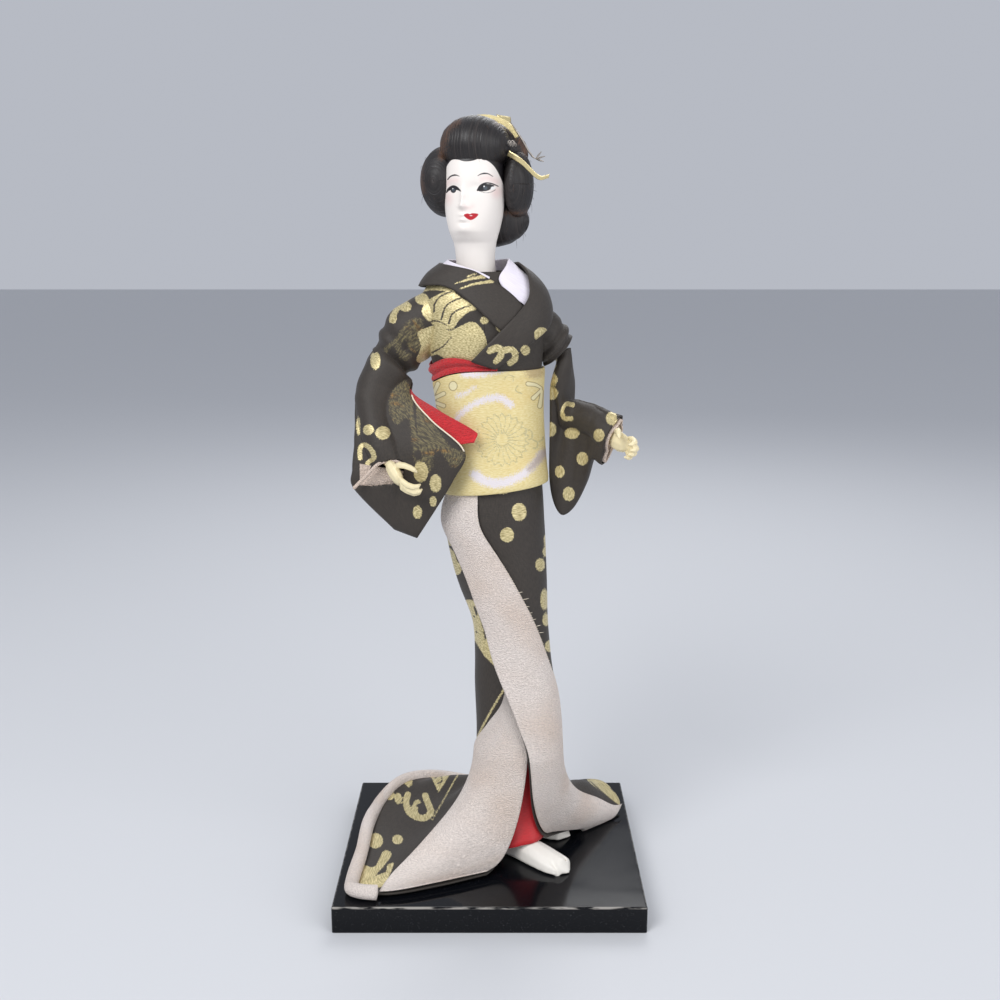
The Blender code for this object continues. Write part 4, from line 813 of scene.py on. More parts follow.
SASH_DRAWING = Drawing(
    (415, 350),
    9.8,
    {
        Layer.SILVER: (
            Stroke(((395, 700), (480, 600), (600, 520), (720, 475), (830, 470), (930, 530)), 46, 70),
            Stroke(((590, 1220), (700, 1290), (850, 1300), (1000, 1250), (1130, 1150), (1245, 1010)), 95, 75),
            Stroke(((480, 235), (620, 240), (760, 215), (880, 185)), 62, 40),
            Stroke(((430, 450), (500, 420), (590, 360)), 40, 20),
        ),
        # Painted shade at the sash's edge, under the left arm and beside the left sleeve
        Layer.BROWN: (
            Stroke(((1120, 1160), (1190, 1090), (1262, 1000)), 60, 80),
            Dot(1165, 215, 90, 60),
        ),
        Layer.WHITE: (
            Stroke(((170, 490), (200, 410), (235, 330)), 34, 44),
            Stroke(((190, 480), (240, 450), (290, 425)), 34, 44),
            Stroke(((190, 505), (240, 525), (290, 545)), 34, 44),
            Stroke(((180, 520), (215, 570), (250, 620)), 24, 34),
            Dot(380, 350, 40, 46),
            Stroke(((1225, 370), (1170, 340), (1100, 330)), 26, 44),
            Stroke(((1225, 390), (1190, 430), (1150, 470)), 26, 44),
            Stroke(((1232, 400), (1225, 470), (1212, 550)), 26, 44),
        ),
        Layer.LINE: chrysanthemum()
        + (
            Stroke(((1075, 835), (1090, 785), (1135, 800), (1140, 860), (1110, 880)), 13),
            Stroke(((1150, 880), (1190, 905), (1185, 960), (1150, 960)), 13),
            Stroke(((1200, 900), (1235, 880), (1245, 850)), 13),
            Stroke(((1000, 350), (985, 400), (1040, 425)), 12),
            Stroke(((870, 290), (900, 250), (960, 260), (955, 310)), 10),
        ),
    },
)
# Middle of the painted band of hair round the face, on the head's sheet
HAIRLINE = (
    (372, 1010), (360, 860), (362, 690), (400, 580), (462, 512), (540, 508), (600, 524), (660, 518),
    (740, 498), (830, 525), (905, 590), (962, 690), (1000, 800), (1004, 960), (990, 1120),
)
FACE_DRAWING = Drawing(
    *HEAD_SHEET,
    {
        Layer.BLACK: (
            Stroke(HAIRLINE, 86, 86),
            Stroke(((440, 734), (458, 712), (480, 698), (505, 692)), 10, 15),
            Stroke(((505, 692), (525, 695), (548, 704)), 15, 5),
            Stroke(((716, 700), (745, 684), (775, 677)), 5, 15),
            Stroke(((775, 677), (812, 680), (858, 706)), 15, 6),
            Patch(((424, 862), (440, 815), (485, 787), (530, 800), (566, 846), (530, 832), (485, 826),
                   (450, 840))),
            Dot(492, 826, 27, 32),
            Stroke(((716, 832), (740, 792), (790, 766), (850, 772), (906, 796)), 17, 9),
            Dot(787, 806, 38, 35),
            Patch(((718, 836), (745, 796), (780, 776), (826, 776), (870, 790), (850, 806), (820, 832),
                   (770, 842))),
            Stroke(((735, 842), (785, 856), (840, 850), (880, 828)), 4, 5),
        ),
        Layer.BLUE: (Dot(787, 812, 19, 17), Dot(492, 830, 15, 15)),
        # White: the white at the right eye's outer corner, and painted highlights in both eyes and on the
        # lips
        Layer.WHITE: (
            *dots((487, 818, 5, 5), (776, 797, 7, 7)),
            Patch(((838, 808), (858, 798), (886, 806), (868, 822), (842, 832))),
            Dot(655, 1066, 12, 4),
        ),
        Layer.RED: (
            Patch(((588, 1060), (620, 1046), (645, 1052), (668, 1044), (722, 1052), (700, 1085),
                   (655, 1108), (615, 1092))),
        ),
        Layer.BLUSH_AND_SHADE: (
            Stroke(((428, 775), (470, 745), (520, 742)), 46, 30),
            Stroke(((760, 728), (820, 722), (890, 756)), 36, 56),
            *dots((892, 850, 46, 50), (448, 905, 26, 40)),
            # Painted shade just under the nose
            Stroke(((604, 985), (640, 995), (668, 982)), 12),
        ),
    },
)
# Painted brown highlights along the outline of the wig's forms, on the head's sheet
HAIR_DRAWING = Drawing(
    *HEAD_SHEET,
    {
        Layer.BROWN: (
            Stroke(((385, 520), (400, 380), (450, 260), (540, 190)), 60, 40),
            Stroke(((900, 190), (1010, 250), (1110, 350), (1170, 480)), 60, 70),
            Stroke(((960, 1035), (1060, 1050), (1180, 1030)), 26, 20),
            Stroke(((200, 560), (190, 700), (215, 850)), 26, 20),
        ),
    },
)


@dataclass(frozen=True)
class Ground:
    """The plain colour and surface of a finish."""

    name: str
    colour: Colour
    roughness: float
    metallic: float = 0.0
    sheen: float = 0.0
    coat: float = 0.0


LACQUER = Ground("black lacquer", (0.0035, 0.004, 0.0055), 0.09)
DARK_SATIN = Ground("dark satin brocade", (0.026, 0.020, 0.015), 0.62, sheen=0.06)
OBI_GROUND = Ground("pale gold brocade", (0.70, 0.56, 0.235), 0.5, metallic=0.15)
CREPE = Ground("pink-cream crepe", (0.86, 0.765, 0.70), 0.85, sheen=0.1)
CREAM = Ground("beige lining", (0.74, 0.60, 0.50), 0.85, sheen=0.1)
RED_CREPE = Ground("red crepe", (0.66, 0.012, 0.018), 0.72, sheen=0.2)
RED_SATIN = Ground("red satin", (0.44, 0.004, 0.008), 0.5, sheen=0.3)
WHITE_SILK = Ground("white silk", (0.76, 0.70, 0.80), 0.7, sheen=0.2)
FACE_PAINT = Ground("white face paint", (0.86, 0.80, 0.745), 0.42)
HAND_PAINT = Ground("ivory hand paint", (0.83, 0.72, 0.45), 0.42)
TABI_PAINT = Ground("white sock paint", (0.84, 0.80, 0.73), 0.42)
HAIR_FIBRE = Ground("black hair fibre", (0.012, 0.0095, 0.0095), 0.48)
GILT = Ground("pale gilt", (0.82, 0.69, 0.36), 0.34, metallic=0.85)
DULL_SILVER = Ground("dull silver wire", (0.42, 0.38, 0.34), 0.42, metallic=0.9)
PIPING = Ground("cream piping", (0.80, 0.70, 0.55), 0.7)
STEEL = Ground("steel wire", (0.32, 0.31, 0.30), 0.4, metallic=1.0)
PADDING = Ground("wound padding", (0.50, 0.43, 0.32), 0.9)
FLOOR = Ground("pale floor", (0.62, 0.63, 0.65), 0.8)


class Finish:
    """Builds one procedural material.

    Args:
        ground: The plain colour and surface under everything.
        relief: Depth of the fine bump in millimetres.
    """

    def __init__(self, ground: Ground, relief: float = 0.0) -> None:
        self.ground = ground
        self.relief = relief
        self.material = bpy.data.materials.new(ground.name)
        self.material.use_nodes = True
        self.tree = self.material.node_tree
        self.shader = self.tree.nodes["Principled BSDF"]
        self.colour = None
        self.height = None
        self.set("Base Color", (*ground.colour, 1.0))
        self.set("Roughness", ground.roughness)
        self.set("Metallic", ground.metallic)
        self.set("Sheen Weight", ground.sheen)
        self.set("Coat Weight", ground.coat)

    def set(self, socket: str, value: object) -> "Finish":
        """Sets or links one of the shader's sockets."""
        if isinstance(value, Socket):
            self.tree.links.new(value, self.shader.inputs[socket])
        else:
            self.shader.inputs[socket].default_value = value
        return self

    def node(self, kind: str, output: int = 0, options: dict | None = None, **inputs: object) -> Socket:
        """Adds a node.

        Args:
            kind: The node's type without its prefix.
            output: The output to return.
            options: Its own properties.
            inputs: Values or sockets for its inputs, by name or as _0, _1 and so on.

        Returns:
            The output socket.
        """
        made = self.tree.nodes.new(f"ShaderNode{kind}")
        for key, value in (options or {}).items():
            setattr(made, key, value)
        for key, value in inputs.items():
            place = int(key[1:]) if key[0] == "_" else key.replace("_", " ")
            if isinstance(value, Socket):
                self.tree.links.new(value, made.inputs[place])
            else:
                made.inputs[place].default_value = value
        return made.outputs[output]

    def math(self, operation: str, *values: Socket | float) -> Socket:
        """Adds a sum of one to three values."""
        inputs = {f"_{i}": value for i, value in enumerate(values)}
        return self.node("Math", 0, {"operation": operation}, **inputs)

    def stretched(self, scales: tuple[float, float, float], source: str = "UV") -> Socket:
        """Coordinates along the cloth, or in the object, times a scale each way."""
        place = {"UV": 2, "Object": 3}[source]
        return self.node("Mapping", 0, None, Vector=self.node("TexCoord", place), Scale=scales)

    def noise(self, scales: tuple[float, float, float], detail: float = 2.0, source: str = "UV") -> Socket:
        """Noise from 0 to 1 with its own scale each way, in steps per metre."""
        return self.node("TexNoise", 0, None, Vector=self.stretched(scales, source), Scale=1.0, Detail=detail)

    def spread(
        self, value: Socket, low: float, high: float, to_low: float = 0.0, to_high: float = 1.0
    ) -> Socket:
        """Maps a range of a value smoothly on another range.

        Args:
            value: The value.
            low: Start of its range.
            high: End of its range.
            to_low: What the start becomes.
            to_high: What the end becomes.

        Returns:
            The output socket.
        """
        inputs = {"Value": value, "From_Min": low, "From_Max": high, "To_Min": to_low, "To_Max": to_high}
        return self.node("MapRange", 0, {"interpolation_type": "SMOOTHSTEP"}, **inputs)

    def mix(self, share: Socket | float, first: Socket | Colour, second: Socket | Colour) -> Socket:
        """Mixes two colours."""
        made = self.tree.nodes.new("ShaderNodeMix")
        made.data_type = "RGBA"
        for place, value in ((0, share), (6, first), (7, second)):
            if isinstance(value, Socket):
                self.tree.links.new(value, made.inputs[place])
            elif place == 0:
                made.inputs[place].default_value = value
            else:
                made.inputs[place].default_value = (*value, 1.0)
        return made.outputs[2]

    def layer(self, layer: Layer, blur: float = 0.45, stir: float = 0.0) -> Socket:
        """How much of a woven or painted layer there is at a place.

        Args:
            layer: The layer.
            blur: Half the width of its soft edge, in thousandths of the picture.
            stir: How far its edge is roughened.

        Returns:
            A socket from 0 to 1.
        """
        value = self.node("Attribute", 2, {"attribute_name": layer.value})
        if stir:
            rough = self.spread(self.noise((1800, 1800, 1800), 1.0, "Object"), 0.3, 0.7, -stir, stir)
            value = self.math("ADD", value, rough)
        return self.spread(value, -blur, blur)

    def painted(self, share: Socket | float, colour: Socket | Colour) -> "Finish":
        """Lays a colour over what there is, by a share."""
        before = self.colour or self.ground.colour
        self.colour = self.mix(share, before, colour)
        return self

    def raised(self, height: Socket) -> "Finish":
        """Adds to the bump."""
        self.height = height if self.height is None else self.math("ADD", self.height, height)
        return self

    def done(self) -> Material:
        """Links the colour and the bump, and gives the material."""
        if self.colour is not None:
            self.set("Base Color", self.colour)
        if self.height is not None:
            options = {"Height": self.height, "Distance": self.relief * MM, "Strength": 1.0}
            self.set("Normal", self.node("Bump", 0, None, **options))
        return self.material


def plain_finish(ground: Ground) -> Material:
    """A finish with a slight unevenness."""
    made = Finish(ground, 0.03)
    return made.raised(made.noise((900, 900, 900), 3.0, "Object")).done()


def lacquer_finish() -> Material:
    """Polished black lacquer, painted grey along the top edges for rubbed wear and a painted highlight, with
    fine dust.
    """
    made = Finish(LACQUER, 0.01)
    # Grey along the top edges: partly rubbed wear, partly a painted highlight that is strongest on the front
    # edge.
    wear_and_highlight = made.node("Attribute", 2, {"attribute_name": "wear_and_highlight"})
    patchy = made.spread(made.noise((110, 600, 600), 3.0, "Object"), 0.38, 0.6)
    made.painted(made.math("MULTIPLY", wear_and_highlight, patchy), (0.36, 0.34, 0.31))
    dust = made.spread(made.noise((1500, 1500, 1500), 2.0, "Object"), 0.66, 0.74, 0.0, 0.12)
    made.painted(dust, (0.30, 0.30, 0.31))
    made.set("Specular IOR Level", 0.22)
    smears = made.spread(made.noise((26, 42, 30), 3.0, "Object"), 0.35, 0.75, 0.07, 0.2)
    made.set("Roughness", smears)
    return made.raised(made.noise((60, 60, 60), 2.0, "Object")).done()


def brocade_finish(ground: Ground) -> Material:
    """Dark satin with figures woven in gilt, dull olive and dark lines."""
    made = Finish(ground, 0.06)
    threads = made.spread(made.noise((700, 2600, 1), 2.0), 0.3, 0.7)
    warp = made.spread(made.noise((2600, 500, 1), 2.0), 0.3, 0.7)
    made.painted(made.math("MULTIPLY", warp, 0.5), tuple(c * 1.9 for c in ground.colour))
    olive = made.layer(Layer.OLIVE, 0.7, 1.2)
    rust = made.spread(made.noise((70, 260, 1), 3.0), 0.54, 0.72)
    dull = made.mix(rust, (0.20, 0.165, 0.075), (0.32, 0.17, 0.035))
    slant = made.spread(made.noise((1300, 420, 1), 3.0), 0.40, 0.62, 0.15, 1.0)
    thread_share = made.math("MULTIPLY", slant, made.spread(threads, 0.0, 0.9, 0.4, 1.0))
    made.painted(made.math("MULTIPLY", olive, thread_share), dull)
    gold = made.layer(Layer.GOLD, 0.4, 0.35)
    bright = made.mix(threads, (0.36, 0.29, 0.125), (0.80, 0.69, 0.38))
    made.painted(gold, bright)
    lines = made.layer(Layer.LINE, 0.4, 0.3)
    made.painted(lines, tuple(c * 1.4 for c in ground.colour))
    figured = made.math("MULTIPLY", gold, made.math("SUBTRACT", 1.0, lines))
    made.set("Metallic", made.math("MULTIPLY", figured, 0.4))
    made.set("Roughness", made.spread(figured, 0.0, 1.0, ground.roughness, 0.42))
    made.raised(made.math("MULTIPLY", figured, 1.2))
    return made.raised(made.math("MULTIPLY", threads, 0.6)).done()


def sash_finish() -> Material:
    """Pale gold brocade with silver clouds, petals, embossed lines and painted shade at one edge."""
    made = Finish(OBI_GROUND, 0.12)
    threads = made.spread(made.noise((600, 2600, 1), 2.0), 0.25, 0.75)
    made.painted(made.math("MULTIPLY", threads, 0.75), (0.86, 0.76, 0.44))
    amber = made.spread(made.noise((60, 60, 1), 2.0), 0.5, 0.75, 0.0, 0.4)
    made.painted(amber, (0.72, 0.50, 0.16))
    silver = made.layer(Layer.SILVER, 2.2, 1.6)
    made.painted(made.math("MULTIPLY", silver, 0.9), (0.76, 0.71, 0.76))
    # Painted shade in brown at the sash's edge under the left arm and beside the left sleeve.
    made.painted(made.math("MULTIPLY", made.layer(Layer.BROWN, 2.6, 1.5), 0.55), (0.34, 0.22, 0.12))
    petals = made.node("Attribute", 2, {"attribute_name": "white"})
    made.painted(made.spread(petals, -0.6, -0.1, 0.0, 0.75), (0.27, 0.20, 0.10))
    made.painted(made.spread(petals, 0.25, 0.6), (0.80, 0.72, 0.44))
    lines = made.layer(Layer.LINE, 0.35, 0.25)
    made.painted(made.math("MULTIPLY", lines, 0.5), (0.42, 0.40, 0.24))
    made.raised(made.math("MULTIPLY", lines, -1.0))
    return made.raised(made.math("MULTIPLY", threads, 0.5)).done()


def crepe_finish(ground: Ground, warmer: Colour) -> Material:
    """Crinkled crepe: pebbled across the cloth with painted shade in the dips, a little warmer in places."""
    made = Finish(ground, 0.42)
    pebbles = made.spread(made.noise((900, 1900, 1), 3.0), 0.32, 0.68)
    fine = made.noise((2600, 5200, 1), 2.0)
    clouds = made.spread(made.noise((22, 30, 1), 2.0), 0.4, 0.65)
    made.painted(made.math("MULTIPLY", clouds, 0.6), warmer)
    # Painted shade: the dips between the pebbles are darkened.
    painted_dip_shade = made.spread(pebbles, 0.0, 0.55, 0.42, 0.0)
    made.painted(painted_dip_shade, tuple(c * 0.62 for c in ground.colour))
    made.raised(pebbles)
    return made.raised(made.math("MULTIPLY", fine, 0.45)).done()


def satin_finish(ground: Ground) -> Material:
    """Plain cloth with a fine thread."""
    made = Finish(ground, 0.08)
    threads = made.noise((600, 2600, 1), 2.0)
    made.painted(made.spread(threads, 0.3, 0.7, 0.0, 0.35), tuple(min(c * 1.5, 1) for c in ground.colour))
    return made.raised(threads).done()


def face_finish() -> Material:
    """White face paint with blush, brows, eyes and lips, painted shade under the nose and painted highlights
    in the eyes and on the lips.
    """
    made = Finish(FACE_PAINT, 0.03)
    # Pink blush on the lids and cheeks, and painted shade just under the nose.
    made.painted(made.math("MULTIPLY", made.layer(Layer.BLUSH_AND_SHADE, 5.0), 0.36), (0.80, 0.42, 0.40))
    made.painted(made.layer(Layer.RED, 0.35), (0.47, 0.012, 0.022))
    made.painted(made.layer(Layer.BLACK, 0.3), (0.012, 0.010, 0.012))
    made.painted(made.math("MULTIPLY", made.layer(Layer.BLUE, 0.8), 0.5), (0.10, 0.13, 0.16))
    # White of the right eye's corner, with painted highlights in the eyes and on the lips.
    made.painted(made.layer(Layer.WHITE, 0.3), (0.84, 0.82, 0.80))
    return made.raised(made.noise((400, 400, 400), 3.0, "Object")).done()


def hair_finish() -> Material:
    """Combed black fibre, with painted brown highlights along the edges of its forms."""
    made = Finish(HAIR_FIBRE, 0.22)
    strands = made.noise((6, 2600, 1), 3.0)
    locks = made.noise((10, 420, 1), 2.0)
    made.painted(made.spread(strands, 0.52, 0.75, 0.0, 0.8), (0.055, 0.042, 0.038))
    # Painted highlight: brown along the wig's outline, broken up by the strands.
    brown = made.layer(Layer.BROWN, 3.0, 2.0)
    thread_share = made.spread(strands, 0.4, 0.6, 0.25, 0.9)
    made.painted(made.math("MULTIPLY", brown, thread_share), (0.14, 0.065, 0.032))
    made.set("Roughness", made.spread(strands, 0.3, 0.7, 0.36, 0.6))
    made.raised(strands)
    return made.raised(made.math("MULTIPLY", locks, 1.4)).done()


def floor_finish() -> Material:
    """The plain pale floor."""
    return Finish(FLOOR).done()


class Wardrobe:
    """Every finish, made once."""

    def __init__(self) -> None:
        self.lacquer = lacquer_finish()
        self.brocade = brocade_finish(DARK_SATIN)
        self.sash = sash_finish()
        self.crepe = crepe_finish(CREPE, (0.76, 0.60, 0.49))
        self.cream = crepe_finish(CREAM, (0.66, 0.46, 0.40))
        self.red_crepe = crepe_finish(RED_CREPE, (0.72, 0.02, 0.03))
        self.red_satin = satin_finish(RED_SATIN)
        self.white_silk = satin_finish(WHITE_SILK)
        self.face = face_finish()
        self.hand = plain_finish(HAND_PAINT)
        self.tabi = plain_finish(TABI_PAINT)
        self.hair = hair_finish()
        self.gilt = plain_finish(GILT)
        self.silver = plain_finish(DULL_SILVER)
        self.piping = plain_finish(PIPING)
        self.steel = plain_finish(STEEL)
        self.padding = plain_finish(PADDING)
        self.floor = floor_finish()


def add_object(name: str, bm: Mesh, finish: Material, slot: str) -> Piece:
    """Turns a bmesh into a smooth object with its finish.

    Args:
        name: The object's name.
        bm: The mesh, which is freed.
        finish: Its material.
        slot: Not used.

    Returns:
        The object.
    """
    bmesh.ops.recalc_face_normals(bm, faces=bm.faces)
    mesh = bpy.data.meshes.new(name)
    bm.to_mesh(mesh)
    bm.free()
    mesh.shade_smooth()
    mesh.materials.append(finish)
    made = bpy.data.objects.new(name, mesh)
    bpy.context.scene.collection.objects.link(made)
    return made


def grid_bmesh(surface: Surface, columns: int, rows: int, closed: bool = False) -> Mesh:
    """A grid laid on a surface, with a UV map in metres along the cloth.

    Args:
        surface: Gives a point in millimetres for a share across and a share along.
        columns: Steps across.
        rows: Steps along.
        closed: Whether the first and the last column meet.

    Returns:
        The mesh, placed in the frame.
    """
    bm = bmesh.new()
    bmesh.ops.create_grid(bm, x_segments=columns, y_segments=rows, size=0.5)
    across = [surface(i / 12, 0.5) for i in range(13)]
    along = [surface(0.5, i / 12) for i in range(13)]
    width, length = (sum((b - a).length for a, b in zip(line, line[1:])) * MM for line in (across, along))
    weave = bm.loops.layers.uv.new("weave")
    for face in bm.faces:
        for loop in face.loops:
            loop[weave].uv = ((loop.vert.co.x + 0.5) * width, (loop.vert.co.y + 0.5) * length)
    for vert in bm.verts:
        vert.co = world(surface(vert.co.x + 0.5, vert.co.y + 0.5))
    if closed:
        bmesh.ops.remove_doubles(bm, verts=bm.verts, dist=1e-7)
    return bm


def tube_bmesh(points: Rows, radii: Sequence[float], sides: int, rows: int) -> Mesh:
    """A round bar along a smooth curve, with domed ends.

    Args:
        points: Points of the curve in millimetres.
        radii: The bar's radius at each point.
        sides: Steps round it.
        rows: Steps along it.

    Returns:
        The mesh, placed in the frame.
    """
    count = len(points) - 1
    path = [(i / count, *point, radius) for i, (point, radius) in enumerate(zip(points, radii))]
    dome = 0.12 / count

    def surface(u: float, v: float) -> Vector:
        along = interpolated(path, v)
        ahead, behind = interpolated(path, min(v + 0.02, 1)), interpolated(path, max(v - 0.02, 0))
        way = (Vector(ahead[:3]) - Vector(behind[:3])).normalized()
        side = way.cross(Vector((0.31, 0.9, 0.3))).normalized()
        other = way.cross(side)
        narrow = math.sqrt(max(1 - (1 - min(min(v, 1 - v) / dome, 1)) ** 2, 0.02))
        angle = math.tau * u
        return Vector(along[:3]) + (side * math.cos(angle) + other * math.sin(angle)) * along[3] * narrow

    bm = grid_bmesh(surface, sides, rows, closed=True)
    bmesh.ops.holes_fill(bm, edges=[edge for edge in bm.edges if edge.is_boundary], sides=0)
    return bm


def tubes_bmesh(tubes: Sequence[tuple], sides: int, rows: int) -> Mesh:
    """Many tubes in one mesh.

    Args:
        tubes: The points and radii of each tube, in millimetres.
        sides: Sides of each tube.
        rows: Rows along each tube.

    Returns:
        The mesh.
    """
    bm = bmesh.new()
    for points, radii in tubes:
        single = tube_bmesh(points, radii, sides, rows)
        mesh = bpy.data.meshes.new("tube")
        single.to_mesh(mesh)
        single.free()
        bm.from_mesh(mesh)
        bpy.data.meshes.remove(mesh)
    return bm


def lattice_inside(x: np.ndarray, y: np.ndarray, cell: float) -> np.ndarray:
    """A woven repeat of dots and hooks for the cloth that the picture doesn't show.

    Args:
        x: Across the cloth in millimetres.
        y: Along the cloth in millimetres.
        cell: The size of one repeat in millimetres.

    Returns:
        How far inside a figure each place is, in millimetres.
    """
    best = np.full_like(x, -1e3)
    for row in range(int(y.min() // cell), int(y.max() // cell) + 2):
        for column in range(int(x.min() // cell), int(x.max() // cell) + 2):
            shift_x = noise.noise((row * 3.1, column * 1.7, 0.5)) * cell * 0.5
            shift_y = noise.noise((row * 1.3, column * 2.9, 7.5)) * cell * 0.5
            place_x = (column + 0.5 * (row % 2)) * cell + shift_x
            place_y = row * cell + shift_y
            if (row + column) % 3 == 0:
                turn = noise.noise((row * 2.1, column * 0.7, 3.5)) * 5
                angles = [turn + k * 0.8 for k in range(6)]
                reach = cell * 0.2
                loop = tuple((place_x + reach * math.cos(a), place_y + reach * math.sin(a)) for a in angles)
                figures = [Stroke(loop, cell * 0.16, cell * 0.2)]
            else:
                figures = [Dot(place_x, place_y, cell * 0.14)]
                figures.append(Dot(place_x + cell * 0.3, place_y + cell * 0.1, cell * 0.11))
            for figure in figures:
                best = np.maximum(best, figure.inside(x, y))
    return best


def draw_on(made: Piece, drawings: Sequence[Drawing], layers: Sequence[Layer], repeat: float = 0.0) -> None:
    """Stores how far inside each layer's figures every point of a mesh lies.

    Args:
        made: The object.
        drawings: The drawing sheets for what faces the picture.
        layers: The layers its finish reads.
        repeat: Size of the woven repeat in millimetres elsewhere, or 0 for none.
    """
    mesh = made.data
    count = len(mesh.vertices)
    points, normals = np.empty(count * 3), np.empty(count * 3)
    mesh.vertices.foreach_get("co", points)
    mesh.vertices.foreach_get("normal", normals)
    points, normals = points.reshape(-1, 3), normals.reshape(-1, 3)
    x, y = picture_points(points)
    sight = np.array(EYE) - points
    sight /= np.linalg.norm(sight, axis=1, keepdims=True)
    facing = (normals * sight).sum(axis=1)
    seen = facing > 0.03
    cloth = np.zeros((count, 2))
    if repeat and mesh.uv_layers:
        uv = np.empty(len(mesh.loops) * 2)
        mesh.uv_layers[0].data.foreach_get("uv", uv)
        owner = np.empty(len(mesh.loops), int)
        mesh.loops.foreach_get("vertex_index", owner)
        cloth[owner] = uv.reshape(-1, 2) / MM
    for layer in layers:
        values = np.full(count, -50.0)
        for drawing in drawings:
            values = np.maximum(values, np.where(seen, drawing.inside(layer, x, y), -50.0))
        if repeat and layer is Layer.GOLD:
            woven = lattice_inside(cloth[:, 0], cloth[:, 1], repeat) * PICTURE_PER_MM
            values = np.where(facing < -0.05, np.maximum(values, woven), values)
        stored = mesh.attributes.new(layer.value, "FLOAT", "POINT")
        stored.data.foreach_set("value", values.astype(np.float32))


def declare_sheet(made: Piece) -> None:
    """Works out the flat size that a sheet's thread map was laid out in; the size is not used.

    Args:
        made: The sheet.
    """
    side = sum(face.area for face in made.data.polygons)
    wide = max(loop.uv.x for loop in made.data.uv_layers[0].data)
    long = max(loop.uv.y for loop in made.data.uv_layers[0].data)
    stretch = math.sqrt(side / (wide * long))
    wide, long = wide * stretch, long * stretch
    if min(wide, long) < NARROWEST_SHEET:
        wide, long = max(wide, NARROWEST_SHEET), max(long, NARROWEST_SHEET)
        return


def dress(node: Piece, finish: Material) -> None:
    """Gives a node of the frame a finish."""
    node.data.materials.clear()
    node.data.materials.append(finish)


def remeshed(source: Piece, name: str, voxel: float, smooth: int) -> Piece:
    """A copy of a closed form in small even faces, smoothed.

    Args:
        source: The form.
        name: The copy's name.
        voxel: Size of the faces.
        smooth: Rounds of smoothing.

    Returns:
        The copy.
    """
    mesh = source.data.copy()
    guide = bpy.data.objects.new(f"{name}_guide", mesh)
    bpy.context.scene.collection.objects.link(guide)
    even = guide.modifiers.new("Even faces", "REMESH")
    even.mode = "VOXEL"
    even.voxel_size = voxel
    even.use_smooth_shade = True
    soften = guide.modifiers.new("Soften", "SMOOTH")
    soften.factor = 0.5
    soften.iterations = smooth
    graph = bpy.context.evaluated_depsgraph_get()
    made_mesh = bpy.data.meshes.new_from_object(guide.evaluated_get(graph))
    bpy.data.objects.remove(guide)
    made_mesh.shade_smooth()
    made = bpy.data.objects.new(name, made_mesh)
    bpy.context.scene.collection.objects.link(made)
    return made


@dataclass(frozen=True)
class Cloth:
    """A cloth: its finish, its slot, its thickness, what is drawn on it and its woven repeat (mm)."""

    finish: str
    slot: str
    thickness: float
    layers: tuple[Layer, ...] = ()
    repeat: float = 0.0


SASH_LAYERS = (Layer.SILVER, Layer.BROWN, Layer.WHITE, Layer.LINE)
BROCADE_LAYERS = (Layer.GOLD, Layer.OLIVE, Layer.LINE)
BROCADE = Cloth("brocade", "dark_brocade", KIMONO_CLOTH, BROCADE_LAYERS, 21.0)
COLLAR_BROCADE = Cloth("brocade", "dark_brocade", KIMONO_CLOTH, BROCADE_LAYERS)
STIFF_BROCADE = Cloth("sash", "gold_brocade", SASH_CLOTH, SASH_LAYERS)
PINK_CREPE = Cloth("crepe", "pink_crepe", LINING_CLOTH)
BEIGE_CREPE = Cloth("cream", "cream_lining", LINING_CLOTH)
SCARLET_CREPE = Cloth("red_crepe", "red_crepe", LINING_CLOTH)
SCARLET_SATIN = Cloth("red_satin", "red_satin", LINING_CLOTH)
LILAC_SILK = Cloth("white_silk", "white_silk", LINING_CLOTH)


@dataclass
class Assembly:
    """What every sub-assembly shares: its finishes, the frame's nodes and how its pieces are added."""

    wardrobe: Wardrobe
    nodes: dict[str, Piece]

    def add(
        self,
        name: str,
        bm: Mesh,
        finish: Material,
        slot: str,
        nodes: Sequence[str] = (),
        thickness: float = 0.0,
    ) -> Piece:
        """Adds a piece that stands for some nodes of the frame.

        Args:
            name: The piece's name.
            bm: Its mesh, which is freed.
            finish: Its material.
            slot: Not used; only handed on to add_object.
            nodes: The nodes that it stands for.
            thickness: Its wall in metres, or 0 for a closed form.

        Returns:
            The piece.
        """
        made = add_object(name, bm, finish, slot)
        if thickness:
            shell = made.modifiers.new("Cloth", "SOLIDIFY")
            shell.thickness = thickness
            shell.offset = 0.0
        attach(made, "root")
        if nodes:
            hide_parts(*nodes)
        LOG.info("built %s", made.name)
        return made

    def sheet(
        self,
        name: str,
        bm: Mesh,
        cloth: Cloth,
        nodes: Sequence[str],
        rests_on: str,
        held: str = "draped",
        drawings: Sequence[Drawing] = (),
    ) -> Piece:
        """Adds a piece of cloth.

        Args:
            name: The piece's name.
            bm: Its middle surface.
            cloth: What it is made of.
            nodes: The nodes of the frame that it stands for.
            rests_on: Not used.
            held: Not used.
            drawings: What is drawn on it.

        Returns:
            The piece.
        """
        finish = getattr(self.wardrobe, cloth.finish)
        made = self.add(name, bm, finish, cloth.slot, nodes, cloth.thickness)
        if cloth.layers:
            draw_on(made, drawings, cloth.layers, cloth.repeat)
        declare_sheet(made)
        return made

    def cover(self, made: Piece, node: Piece, finish: str, slot: str) -> None:
        """Lets a moulded skin stand for its coarse node.

        Args:
            made: The skin.
            node: The node of the frame.
            finish: Its finish's name.
            slot: Not used.
        """
        dress(made, getattr(self.wardrobe, finish))
        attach(made, "root")
        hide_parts(node.name)
        LOG.info("built %s", made.name)


@dataclass(frozen=True)
class Lamp:
    """A large soft round light: its place and size in metres, and its power in watts."""

    name: str
    place: tuple[float, float, float]
    size: float
    power: float


